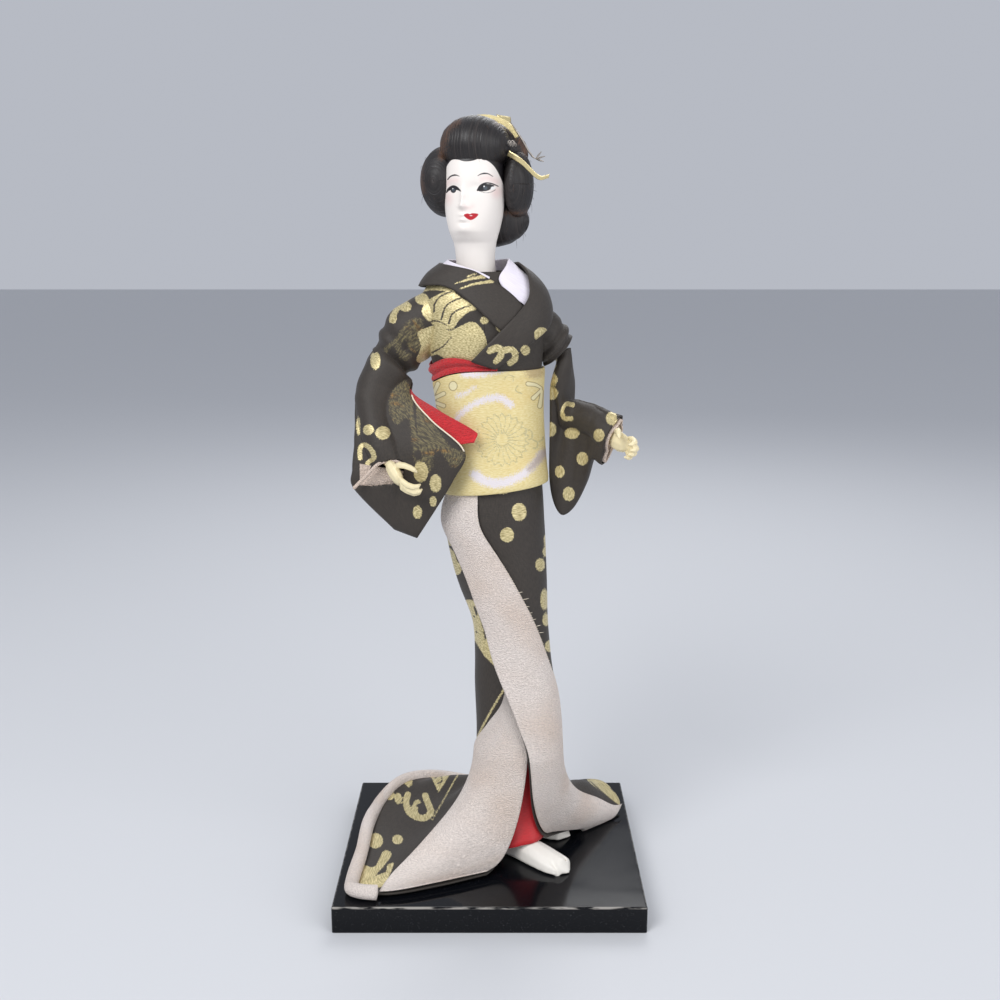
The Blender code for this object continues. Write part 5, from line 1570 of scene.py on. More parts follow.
LAMPS = (
    Lamp("key", (-0.55, -0.75, 0.95), 0.7, 9.0),
    Lamp("fill", (0.75, -0.65, 0.55), 0.9, 4.5),
    Lamp("rim", (0.15, 0.75, 0.85), 0.6, 3.0),
)


@dataclass
class Studio(Assembly):
    """The floor, the lights and the place that the picture is seen from."""

    lit_place: tuple[float, float, float] = (0, 0, 0.17)
    room_colour: tuple[float, float, float, float] = (0.86, 0.9, 1.0, 1.0)
    room_strength: float = 0.55
    floor_size: float = 6.0

    def build(self) -> None:
        """Sets up the studio."""
        self.lay_floor()
        for lamp in LAMPS:
            self.light(lamp)
        self.place_eye()
        scene = bpy.context.scene
        scene.world = bpy.data.worlds.new("soft room")
        scene.world.use_nodes = True
        air = scene.world.node_tree.nodes["Background"]
        air.inputs["Color"].default_value = self.room_colour
        air.inputs["Strength"].default_value = self.room_strength
        scene.view_settings.view_transform = "Standard"

    def lay_floor(self) -> None:
        """Lays a plain pale floor."""
        bm = bmesh.new()
        bmesh.ops.create_grid(bm, x_segments=1, y_segments=1, size=self.floor_size)
        floor = add_object("floor", bm, self.wardrobe.floor, "floor")

    def light(self, lamp: Lamp) -> None:
        """Adds a light that looks at the doll."""
        bulb = bpy.data.lights.new(lamp.name, "AREA")
        bulb.shape = "DISK"
        bulb.size = lamp.size
        bulb.energy = lamp.power
        made = bpy.data.objects.new(lamp.name, bulb)
        made.location = lamp.place
        way = Vector(self.lit_place) - Vector(lamp.place)
        made.rotation_euler = way.to_track_quat("-Z", "Y").to_euler()
        bpy.context.scene.collection.objects.link(made)

    @staticmethod
    def place_eye() -> None:
        """Looks at the doll as the picture does."""
        camera = bpy.data.cameras.new("picture")
        camera.sensor_width = SENSOR_WIDTH
        camera.lens = EYE_FOCUS / (2 * PICTURE_MIDDLE) * SENSOR_WIDTH
        camera.clip_start = 0.01
        made = bpy.data.objects.new("picture", camera)
        made.location = EYE
        made.rotation_euler = (math.pi / 2 - EYE_PITCH, 0, 0)
        bpy.context.scene.collection.objects.link(made)
        bpy.context.scene.camera = made


@dataclass
class Plinth(Assembly):
    """The lacquered board that the doll stands on."""

    size: tuple[float, float, float] = (135.0 * MM, 116.5 * MM, 12.0 * MM)
    wall: float = 2.5 * MM
    edge: float = 0.9 * MM

    def build(self) -> None:
        """Builds the board with rounded top edges and a hollow underside."""
        width, depth, height = self.size
        bm = bmesh.new()
        place = Matrix.Translation((0, 0, height / 2)) @ Matrix.Diagonal((width, depth, height, 1.0))
        bmesh.ops.create_cube(bm, size=1.0, matrix=place)
        underside = min(bm.faces, key=lambda face: face.calc_center_median().z)
        bmesh.ops.inset_individual(bm, faces=[underside], thickness=self.wall)
        hollow = bmesh.ops.extrude_discrete_faces(bm, faces=[underside])["faces"]
        bmesh.ops.translate(bm, verts=hollow[0].verts, vec=(0, 0, height - self.wall))
        outer = [
            edge
            for edge in bm.edges
            if all(abs(abs(v.co.x) - width / 2) < 1e-6 for v in edge.verts)
            or all(abs(abs(v.co.y) - depth / 2) < 1e-6 for v in edge.verts)
        ]
        rim = [edge for edge in outer if max(v.co.z for v in edge.verts) > height / 2]
        bmesh.ops.bevel(
            bm, geom=rim, offset=self.edge, segments=4, profile=0.5, affect="EDGES", material=-1
        )
        strip = self.edge * 1.15
        for axis, middle in enumerate((width / 2, depth / 2)):
            for way in (-1, 1):
                self.split(bm, axis, way * (middle - strip))
        self.split(bm, 2, height - strip)
        self.mark_wear_and_highlight(bm)
        made = self.add("lacquered_plinth", bm, self.wardrobe.lacquer, "lacquer", ["plinth"])
        made.data.set_sharp_from_angle(angle=math.radians(50))

    @staticmethod
    def split(bm: Mesh, axis: int, place: float) -> None:
        """Splits the board across an axis beside an edge, so that its painted wear and highlight stays a
        narrow line.
        """
        point, normal = Vector(), Vector()
        point[axis] = place
        normal[axis] = 1
        everything = bm.verts[:] + bm.edges[:] + bm.faces[:]
        bmesh.ops.bisect_plane(bm, geom=everything, plane_co=point, plane_no=normal)

    def mark_wear_and_highlight(self, bm: Mesh) -> None:
        """Stores where the lacquer is painted grey, partly rubbed wear and partly a painted highlight: along
        the top edges, most of all in front.
        """
        width, depth, height = self.size
        wear_and_highlight = bm.verts.layers.float.new("wear_and_highlight")
        edge = self.edge * 0.72
        for vert in bm.verts:
            x, y, z = vert.co
            on_side = abs(x) > width / 2 - edge or abs(y) > depth / 2 - edge
            if z > height - edge and on_side:
                # The front edge carries a painted highlight as well as wear, so it is painted strongest.
                vert[wear_and_highlight] = 0.9 if y < edge - depth / 2 else 0.35


@dataclass
class Skirt(Assembly):
    """The wrapped skirt with its train, lining bands, hem roll and red underskirt."""

    band_out: float = (KIMONO_CLOTH / 2 + LINING_CLOTH / 2 + 2.4 * GAP) / MM
    lower_band_start: float = 0.455
    hip_puff: float = 5.6
    underskirt_dip: float = 4.5
    roll_radius: float = 2.3
    roll_swell: float = 1.35
    roll_shares: tuple[float, float] = (0.150, 0.690)
    roll_points: int = 34
    roll_fill: float = 0.8
    stitches: int = 74
    stitch_shares: tuple[float, float] = (0.11, 0.45)
    loose_shares: tuple[float, float] = (0.26, 0.36)
    stitch_radii: tuple[float, ...] = (0.15, 0.13, 0.08)

    def build(self) -> None:
        """Builds the skirt's pieces."""
        self.build_cloth()
        self.build_upper_band()
        self.build_lower_band()
        self.build_hem_roll()
        self.build_underskirt()
        self.build_frayed_edge()

    def creased(self, share: float, down: float) -> Vector:
        """The skirt's surface with soft creases and a bunched fold behind the knee."""
        point = skirt_point(share, down)
        hang = ease(down, 0.02, 0.2)
        crease = stirred((share * 170, down * 60, 0), 26, 3.1) * 0.55
        crease += stirred((share * 170, down * 120, 0), 9, 8.4) * 0.22
        crease += self.hip_puff * bump(share, 0.335, 0.055) * bump(down, 0.22, 0.13) * ease(down, 0.09, 0.13)
        centre = body_ring(max(point.z, KNEE_HEIGHT), 0)
        away = (point - Vector((centre.x, -2.0, point.z))).to_2d()
        away = away.normalized().to_3d() if away.length else Vector((0, -1, 0))
        return point + away * crease * hang

    def build_cloth(self) -> None:
        """The brocade cloth."""
        self.sheet(
            "brocade_skirt",
            grid_bmesh(self.creased, 240, 130),
            BROCADE,
            ["kimono_skirt"],
            "lacquered_plinth",
            drawings=[SKIRT_DRAWING, TRAIN_DRAWING],
        )

    def build_upper_band(self) -> None:
        """The upper lining band, from the sash down to the train on the doll's left."""
        start = KNEE_SHARE * (SKIRT_TOP - SASH_BOTTOM - 2.0) / (SKIRT_TOP - KNEE_HEIGHT)

        def surface(u: float, v: float) -> Vector:
            down = start + (1 - start) * v
            share = 1 - (1 - u) * (1 - interpolated(SKIRT_EDGES, down)[3])
            ease_out = 0.7 * ease(down, 0.43, 0.55)
            puff = 0.5 * math.sin(math.pi * u) + 0.25 * stirred((u * 30, v * 160, 0), 14, 5.5)
            tucked = ease(v, 0.0, 0.035)
            return skirt_outside(share, down, (self.band_out + ease_out + puff) * (0.35 + 0.65 * tucked))

        bm = grid_bmesh(surface, 44, 190)
        self.sheet("upper_crepe_band", bm, PINK_CREPE, ["upper_lining_band"], "brocade_skirt")

    def build_lower_band(self) -> None:
        """The lower lining band, which spreads into the train on the doll's right."""

        def surface(u: float, v: float) -> Vector:
            down = self.lower_band_start + (1 - self.lower_band_start) * v
            first, last, edge = interpolated(SKIRT_EDGES, down)[:3]
            lap = max((last - 360 - first) / (last - first) - 0.002, 0)
            share = lap + (max(edge, lap + 0.004) - lap) * u
            puff = 0.4 * math.sin(math.pi * u) + 0.3 * stirred((u * 40, v * 90, 0), 13, 2.5)
            return skirt_outside(share, down, self.band_out + 0.3 + puff * ease(down, 0.6, 0.75))

        bm = grid_bmesh(surface, 60, 100)
        self.sheet("lower_crepe_band", bm, PINK_CREPE, ["lower_lining_band"], "brocade_skirt")

    def build_hem_roll(self) -> None:
        """The padded roll round the train."""
        first, last = self.roll_shares
        swollen = self.roll_radius * self.roll_swell
        points, radii = [], []
        for i in range(self.roll_points):
            share = first + (last - first) * i / (self.roll_points - 1)
            hem = skirt_point(share, 1)
            outward = (hem - skirt_point(share, 0.97)).normalized()
            hem += outward * (self.roll_radius + 0.2)
            hem.z = max(hem.z, swollen + SEAT / MM + 0.1)
            points.append(hem)
            radii.append(swollen * (1 + 0.16 * stirred((i, 0, 0), 3.5, 4.4)))
        bm = tube_bmesh(points, radii, 18, 260)
        made = self.add("padded_hem_roll", bm, self.wardrobe.crepe, "pink_crepe", ["hem_roll"])

    def build_underskirt(self) -> None:
        """The red underskirt between the bands."""
        low, high = UNDERSKIRT_ROWS[0][0], UNDERSKIRT_ROWS[-1][0]

        def surface(u: float, v: float) -> Vector:
            height = low + (high - low) * v
            centre_x, centre_y, half_width, half_depth = interpolated(UNDERSKIRT_ROWS, height)
            angle = math.tau * u
            height -= self.underskirt_dip * bump_around(math.degrees(angle), 70, 60) * (1 - v) ** 3
            fold = 0.35 * math.sin(angle * 9 + height * 0.05) * (1 - v)
            return Vector(
                (
                    centre_x - (half_width + fold) * math.sin(angle),
                    centre_y - (half_depth + fold) * math.cos(angle),
                    height,
                )
            )

        bm = grid_bmesh(surface, 96, 50, closed=True)
        self.sheet("satin_underskirt", bm, SCARLET_SATIN, ["red_underskirt"], "lacquered_plinth", "hung")

    def build_frayed_edge(self) -> None:
        """Stitches along the upper band's outer edge, with a few threads pulled loose."""
        random = np.random.default_rng(12)
        threads = []
        first, last = self.stitch_shares
        for i in range(self.stitches):
            down = first + (last - first) * i / (self.stitches - 1)
            loose = self.loose_shares[0] < down < self.loose_shares[1]
            reach = random.uniform(1.4, 3.6) if loose and i % 3 == 0 else random.uniform(0.5, 0.9)
            edge = interpolated(SKIRT_EDGES, down)[3]
            start = skirt_outside(edge + 0.003, down, self.band_out + 0.5)
            beyond = skirt_outside(edge - 0.01, down, self.band_out + 0.8)
            way = (beyond - start).normalized()
            droop = Vector((0, -0.35, random.uniform(-0.5, 0.5)))
            half = start + way * reach * 0.5 + droop * 0.3
            end = start + way * reach + droop * reach * 0.3
            threads.append(([start, half, end], self.stitch_radii))
        self.add("band_stitches", tubes_bmesh(threads, 4, 4), self.wardrobe.piping, "pink_crepe")


@dataclass
class Feet(Assembly):
    """The two split-toed feet and their wires, and how the painted feet differ from their nodes."""

    front_ankle: tuple[float, float, float] = (11.0, -12.0, 10.0)
    rear_ankle: tuple[float, float, float] = (9.0, 7.0, 10.0)
    front_turn: float = -38.0
    rear_turn: float = -22.0
    rear_shift: float = 6.0
    stretch: float = 1.14
    split_side: float = 2.0
    split_depth: float = 2.2
    groove_depth: float = 1.5

    def build(self) -> None:
        """Smooths the moulded feet and gives the hidden pieces their finishes."""
        self.round_off(self.nodes["front_leg"], self.front_ankle, self.front_turn, 0.0)
        self.round_off(self.nodes["rear_leg"], self.rear_ankle, self.rear_turn, self.rear_shift)
        for name in ("front_leg_wire", "rear_leg_wire", "right_arm_wire", "left_arm_wire"):
            dress(self.nodes[name], self.wardrobe.steel)
        dress(self.nodes["body_core"], self.wardrobe.padding)

    def round_off(self, node: Piece, ankle: Sequence[float], turn: float, shift: float) -> None:
        """A smooth moulded skin over a leg's coarse form, with its toes split.

        Args:
            node: The leg.
            ankle: Its ankle in millimetres.
            turn: Which way its foot points, in degrees.
            shift: How far back it stands, in millimetres.
        """
        made = remeshed(node, f"moulded_{node.name}", 0.5 * MM, 8)
        heel = world(ankle)
        ahead = Vector((-math.sin(math.radians(turn)), -math.cos(math.radians(turn)), 0))
        aside = Vector((-ahead.y, ahead.x, 0))
        for vert in made.data.vertices:
            away = vert.co - heel
            along, across = away.dot(ahead) / MM, away.dot(aside) / MM
            low = 1 - ease(vert.co.z / MM, 20.0, 28.0)
            split = bump(across, self.split_side, 0.75) * low
            move = ahead * along * (self.stretch - 1) * low + aside * across * (self.stretch - 1) * low
            move -= ahead * self.split_depth * split * ease(along, 27.0, 29.5)
            move.z -= self.groove_depth * split * ease(along, 19.0, 23.0)
            move.y += shift
            vert.co += move * MM
        made.data.update()
        self.cover(made, node, "tabi", "tabi")


@dataclass
class Bodice(Assembly):
    """The kimono's body and upper arms, and the collars.

    Each arm has its shoulder and elbow points and the radius at each; its cloth puffs out (mm).
    """

    right_arm: tuple = ((-19.0, 0.5, 247.5), (-43.4, 3.0, 224.0), 10.4, 7.8)
    left_arm: tuple = ((13.5, 2.6, 245.0), (29.6, 6.0, 229.6), 9.6, 7.6)
    right_puff: float = 6.5
    left_puff: float = 2.5

    def build(self) -> None:
        """Builds the bodice and its collars."""
        self.build_body()
        self.build_arm("right_upper_arm_cloth", self.right_arm, 1, self.right_puff)
        self.build_arm("left_upper_arm_cloth", self.left_arm, -1, self.left_puff)
        self.build_collar("brocade_collar", COLLAR_ROWS, COLLAR_BROCADE, "kimono_collar")
        self.build_collar("silk_under_collar", UNDER_COLLAR_ROWS, LILAC_SILK, "under_collar")

    @staticmethod
    def body(u: float, v: float) -> Vector:
        """The bodice with soft creases from the shoulders to the sash."""
        height = BODICE_BOTTOM + (NECK_HEIGHT - BODICE_BOTTOM) * v
        azimuth = 360 * u - 28 * math.sin(math.tau * u)
        slack = ease(height, 216, 232) * (1 - ease(height, 252, 262))
        place = (azimuth * 0.4, height, 0)
        crease = 0.55 * stirred(place, 15, 6.2) + 0.3 * stirred(place, 6, 1.2)
        return body_ring(height, azimuth, crease * slack)

    def build_body(self) -> None:
        """The cloth round the body."""
        bm = grid_bmesh(self.body, 280, 150, closed=True)
        self.sheet("brocade_bodice", bm, BROCADE, ["kimono_bodice"], "body_core", drawings=[BODICE_DRAWING])

    def build_arm(self, name: str, arm: tuple, side: int, puff: float) -> None:
        """The cloth round an upper arm, wrinkled at the elbow.

        Args:
            name: The piece's name.
            arm: Shoulder and elbow points, and the radius at each.
            side: 1 for the doll's right arm, -1 for its left.
            puff: How far the cloth puffs out.
        """
        start, end = Vector(arm[0]), Vector(arm[1])
        way = end - start
        out = way.cross(Vector((0, 1, 0))).normalized() * side
        ahead = way.cross(out).normalized()

        def surface(u: float, v: float) -> Vector:
            radius = arm[2] + (arm[3] - arm[2]) * v
            angle = math.tau * u
            wrinkle = 0.9 * math.sin(v * 26 + math.sin(angle) * 1.4) * ease(v, 0.45, 0.8) * bump(v, 0.85, 0.3)
            wrinkle += 0.7 * stirred((math.cos(angle) * 9, math.sin(angle) * 9, v * 30), 7, 2.6)
            wrinkle += puff * bump(v, 0.5, 0.36) * max(-math.cos(angle), 0)
            return start + way * v + (out * math.cos(angle) + ahead * math.sin(angle)) * (radius + wrinkle)

        bm = grid_bmesh(surface, 150, 90, closed=True)
        self.sheet(name, bm, BROCADE, (), "brocade_bodice", drawings=[BODICE_DRAWING])

    def build_collar(self, name: str, rows: Rows, cloth: Cloth, node: str) -> None:
        """A strip laid round the neck and over itself on the chest.

        Args:
            name: The piece's name.
            rows: The strip's rows.
            cloth: What it is made of.
            node: The node of the frame that it stands for.
        """

        def surface(u: float, v: float) -> Vector:
            outer_azimuth, outer_height, inner_azimuth, inner_height, out = interpolated(rows, v)
            azimuth = outer_azimuth + (inner_azimuth - outer_azimuth) * u
            height = outer_height + (inner_height - outer_height) * u
            soft = 0.35 * math.sin(math.pi * u) + 0.12 * stirred((u * 6, v * 110, 0), 7, 3.3)
            return body_outside(azimuth, height, out + soft)

        bm = grid_bmesh(surface, 14, 170)
        bmesh.ops.reverse_faces(bm, faces=bm.faces)
        self.sheet(name, bm, cloth, [node], "brocade_bodice", drawings=[COLLAR_DRAWING])


@dataclass
class Sleeves(Assembly):
    """Both hanging sleeves with their linings, piping and the red under-sleeve.

    Shares run from the elbow to the mouth. The lip over the right wrist is drawn in the picture.
    """

    open_share: float = 0.55
    slit: float = 0.045
    fold_share: float = 0.965
    piping_radius: float = 0.32
    red_shares: tuple[float, float] = (0.12, 0.56)
    red_proud: float = 9.6
    red_way: tuple[float, float, float] = (0.74, -0.12, 0.66)
    lip: Rows = (
        (353, 489), (361, 481), (369, 473), (377, 465), (385, 461.5), (393, 461), (400, 463), (406, 467)
    )
    lip_depth: float = -21.8
    lip_radius: float = 0.75

    def build(self) -> None:
        """Builds the sleeves."""
        self.build_right()
        self.build_left()
        self.build_mouth_lining()
        self.build_left_lining()
        self.build_red_sleeve()

    def right(self, u: float, v: float) -> Vector:
        """The right sleeve: open at its hanging edge above, folded shut at the bottom."""
        slit = self.slit * min(max((self.open_share - v) / 0.06, 0), 1)
        around = slit + (1 - 2 * slit) * u
        place = (u * 60, v * 80, 0)
        inset = -0.5 * stirred(place, 16, 4.1) - 0.25 * stirred(place, 6, 2.1)
        inset *= math.sin(math.pi * u)
        point = sleeve_point(RIGHT_SLEEVE_ROWS, RIGHT_SLEEVE_THROUGH, around, v, inset)
        if v > self.fold_share:
            shut = sleeve_point(RIGHT_SLEEVE_ROWS, RIGHT_SLEEVE_THROUGH, 1 - around, v)
            close = (v - self.fold_share) / (1 - self.fold_share)
            point = point.lerp((point + shut) / 2, 1 - math.sqrt(max(1 - close**2, 0)))
        return Sleeves.gathered(point, RIGHT_SLEEVE_ROWS, v)

    @staticmethod
    def gathered(point: Vector, rows: Rows, along: float) -> Vector:
        """A sleeve's point drawn in to the arm near its upper end."""
        middle = (Vector(rows[0][1]) * 2 + Vector(rows[0][2])) / 3
        gather = 1 - ease(along, 0.0, 0.07)
        point = point.lerp(Vector((middle.x, middle.y, point.z)), 0.5 * gather**2)
        return point + Vector((0, 0, 2.2)) * gather**2

    @staticmethod
    def left(u: float, v: float) -> Vector:
        """The left sleeve."""
        place = (u * 60, v * 80, 0)
        inset = -0.4 * stirred(place, 15, 7.7) - 0.2 * stirred(place, 6, 5.1)
        inset *= math.sin(math.pi * u)
        point = sleeve_point(LEFT_SLEEVE_ROWS, LEFT_SLEEVE_THROUGH, u, v, inset)
        return Sleeves.gathered(point, LEFT_SLEEVE_ROWS, v)

    def build_right(self) -> None:
        """The right sleeve with its mouth cut in front."""
        bm = grid_bmesh(self.right, 200, 150)
        bmesh.ops.remove_doubles(bm, verts=bm.verts, dist=1e-6)
        bmesh.ops.recalc_face_normals(bm, faces=bm.faces)
        through = Vector(RIGHT_SLEEVE_THROUGH)
        middles = np.array([face.calc_center_median() for face in bm.faces]) / MM
        within = Patch(SLEEVE_MOUTH, curved=False).inside(middles[:, 0], middles[:, 2] - FIGURE_BASE / MM)
        mouth = [f for f, deep in zip(bm.faces, within) if deep > 0 and f.normal.dot(through) < 0]
        bmesh.ops.delete(bm, geom=mouth, context="FACES")
        self.sheet(
            "brocade_right_sleeve",
            bm,
            BROCADE,
            ["right_sleeve"],
            "right_upper_arm_cloth",
            "hung",
            [RIGHT_SLEEVE_DRAWING],
        )

    def build_left(self) -> None:
        """The left sleeve."""
        bm = grid_bmesh(self.left, 150, 130)
        bmesh.ops.remove_doubles(bm, verts=bm.verts, dist=1e-6)
        self.sheet(
            "brocade_left_sleeve",
            bm,
            BROCADE,
            ["left_sleeve"],
            "left_upper_arm_cloth",
            "hung",
            [LEFT_SLEEVE_DRAWING],
        )

    def build_mouth_lining(self) -> None:
        """The lining in the right sleeve's mouth and the piped lip over the wrist."""

        def surface(u: float, v: float) -> Vector:
            x = SLEEVE_MOUTH[0][0] + 1.0 + (SLEEVE_MOUTH[4][0] - SLEEVE_MOUTH[0][0] - 2.0) * u
            height = 174.0 + (10.5 - 3.0 * u) * v
            return Vector((x, -17.6 - 1.4 * u - 0.4 * math.sin(math.pi * v), height))

        bm = grid_bmesh(surface, 40, 20)
        self.sheet("mouth_lining", bm, BEIGE_CREPE, ["right_cuff_lining"], "brocade_right_sleeve")
        points = [figure_point(x, y, self.lip_depth) for x, y in self.lip]
        bm = tube_bmesh(points, [self.lip_radius] * len(points), 10, 60)
        self.add("mouth_lip", bm, self.wardrobe.cream, "cream_lining")

    def build_left_lining(self) -> None:
        """The padded lining roll at the left sleeve's mouth."""
        inset = (KIMONO_CLOTH / 2 + 0.5 * MM + LINING_CLOTH / 2) / MM
        way = (Vector(LEFT_SLEEVE_ROWS[-1][1]) - Vector(LEFT_SLEEVE_ROWS[-2][1])).normalized()

        def surface(u: float, v: float) -> Vector:
            point = sleeve_point(LEFT_SLEEVE_ROWS, LEFT_SLEEVE_THROUGH, u, 0.8 + 0.2 * v, inset)
            return point + way * 1.4 * ease(v, 0.8, 1.0)

        bm = grid_bmesh(surface, 90, 20, closed=True)
        self.sheet("left_mouth_lining", bm, BEIGE_CREPE, ["left_cuff_lining"], "brocade_left_sleeve")

    def build_red_sleeve(self) -> None:
        """The red under-sleeve in the right sleeve's open side."""
        start, end = self.red_shares
        def surface(u: float, v: float) -> Vector:
            flat = [(row[0], *row[1], *row[2]) for row in RIGHT_SLEEVE_ROWS]
            found = interpolated(flat, start + (end - start) * v)
            arm, hang = Vector(found[0:3]), Vector(found[3:6])
            inner = arm.lerp(hang, 0.62)
            proud = self.red_proud * v * (1 - 0.4 * ease(v, 0.94, 1.0))
            outer = hang + Vector(self.red_way) * proud
            bulge = Vector((0, -0.8, 0.3)) * math.sin(math.pi * u) * math.sin(math.pi * v)
            return inner.lerp(outer, u) + bulge

        bm = grid_bmesh(surface, 50, 70)
        nodes = ["red_under_sleeve"]
        self.sheet("red_crepe_sleeve", bm, SCARLET_CREPE, nodes, "brocade_right_sleeve", "hung")
        self.build_piping()

    def build_piping(self) -> None:
        """The piping along the right sleeve's hanging edge."""
        rows = [(row[0], *row[2]) for row in RIGHT_SLEEVE_ROWS]
        places = [Vector(interpolated(rows, 0.16 + 0.4 * i / 11)) for i in range(12)]
        points = [place + Vector((0.2, -2.2, 0.2)) for place in places]
        bm = tube_bmesh(points, [self.piping_radius] * len(points), 8, 60)
        self.add("sleeve_piping", bm, self.wardrobe.piping, "cream_lining")


@dataclass
class Sash(Assembly):
    """The sash, the scarf above it and the bow behind."""

    scarf_start: float = -10.0
    scarf_sweep: float = 238.0
    scarf_height: float = 6.8
    scarf_out: float = 0.8
    bow_size: tuple[float, float, float] = (36.0, 11.0, 31.0)
    bow_bottom: float = 181.0
    tail_size: tuple[float, float, float] = (28.0, 3.3, 12.0)
    pillow_radius: float = 4.2
    pillow_fill: float = 0.7

    @staticmethod
    def top(azimuth: float) -> float:
        """Height of the sash's top edge, which dips at the doll's right."""
        return SASH_TOP - SASH_TOP_DIP * bump_around(azimuth, 85, 42)

    @staticmethod
    def bottom(azimuth: float) -> float:
        """Height of the sash's bottom edge, which rises at the doll's left."""
        return SASH_BOTTOM + SASH_BOTTOM_RISE * (1 - math.cos(math.radians(azimuth - 90))) / 2

    def build(self) -> None:
        """Builds the sash's pieces."""
        self.build_band()
        self.build_scarf()
        self.build_bow()

    def build_band(self) -> None:
        """The stiff band round the waist."""
        grow = 2 * GAP / MM + SASH_CLOTH / MM / 2

        def surface(u: float, v: float) -> Vector:
            azimuth = 360 * u
            low, high = self.bottom(azimuth), self.top(azimuth)
            stiff = 0.3 * stirred((math.sin(math.tau * u) * 22, math.cos(math.tau * u) * 22, v * 50), 18, 9.1)
            roll = -0.7 * (1 - ease(v, 0, 0.04)) - 0.7 * ease(v, 0.96, 1)
            return body_ring(low + (high - low) * v, azimuth, grow + stiff + roll * 0.4)

        bm = grid_bmesh(surface, 260, 100, closed=True)
        self.sheet("brocade_sash", bm, STIFF_BROCADE, ["sash"], "body_core", drawings=[SASH_DRAWING])

    def build_scarf(self) -> None:
        """The red scarf, folded along its length."""

        def surface(u: float, v: float) -> Vector:
            azimuth = self.scarf_start + self.scarf_sweep * u
            tall = self.scarf_height * (0.12 + 0.88 * math.sin(math.pi / 2 * min(u * 4, 1)))
            tall *= min((1 - u) * 5 + 0.2, 1)
            height = self.top(azimuth) + 0.5 + tall * v
            fold = 0.8 * math.sin(v * 9 + u * 5) * math.sin(math.pi * v)
            return body_ring(height, azimuth, 2 * GAP / MM + self.scarf_out + fold)

        bm = grid_bmesh(surface, 130, 26)
        self.sheet("crepe_scarf", bm, SCARLET_CREPE, ["red_scarf"], "brocade_bodice")

    def block(
        self, name: str, size: Sequence[float], middle: Sequence[float], round_edge: float, node: str
    ) -> None:
        """A soft-edged block of stiff folded cloth.

        Args:
            name: The piece's name.
            size: Its sides in millimetres.
            middle: Its middle.
            round_edge: Radius of its edges.
            node: The node of the frame that it stands for.
        """
        bm = bmesh.new()
        place = Matrix.Translation(world(middle)) @ Matrix.Diagonal((*(s * MM for s in size), 1.0))
        bmesh.ops.create_cube(bm, size=1.0, matrix=place)
        bmesh.ops.bevel(
            bm, geom=bm.edges[:], offset=round_edge * MM, segments=6, profile=0.5, affect="EDGES", material=-1
        )
        made = self.add(name, bm, self.wardrobe.sash, "gold_brocade", [node])
        draw_on(made, (), SASH_LAYERS)

    def build_bow(self) -> None:
        """The drum bow with its tail and pillow."""
        wide, deep, tall = self.bow_size
        middle = body_ring(self.bow_bottom + tall / 2, 180, 2 * GAP / MM + SASH_CLOTH / MM)
        back = middle.y + 2 * GAP / MM
        place = (middle.x, back + deep / 2, self.bow_bottom + tall / 2)
        self.block("drum_bow", self.bow_size, place, deep * 0.36, "sash_bow")
        place = (middle.x, back + deep * 0.45, self.bow_bottom - GAP / MM - self.tail_size[2] / 2)
        self.block("bow_tail", self.tail_size, place, 0.8, "sash_tail")
        pillow_z = self.bow_bottom + tall + GAP / MM + self.pillow_radius
        pillow_y = body_ring(pillow_z, 180, self.pillow_radius + 6 * GAP / MM + LINING_CLOTH / MM).y
        half = wide * 0.42
        points = [(middle.x + x, pillow_y + (1 if x == 0 else 0), pillow_z) for x in (-half, 0, half)]
        bm = tube_bmesh(points, [self.pillow_radius * share for share in (0.8, 1, 0.8)], 40, 70)
        made = self.add("crepe_bow_pillow", bm, self.wardrobe.red_crepe, "red_crepe", ["bow_pillow"])


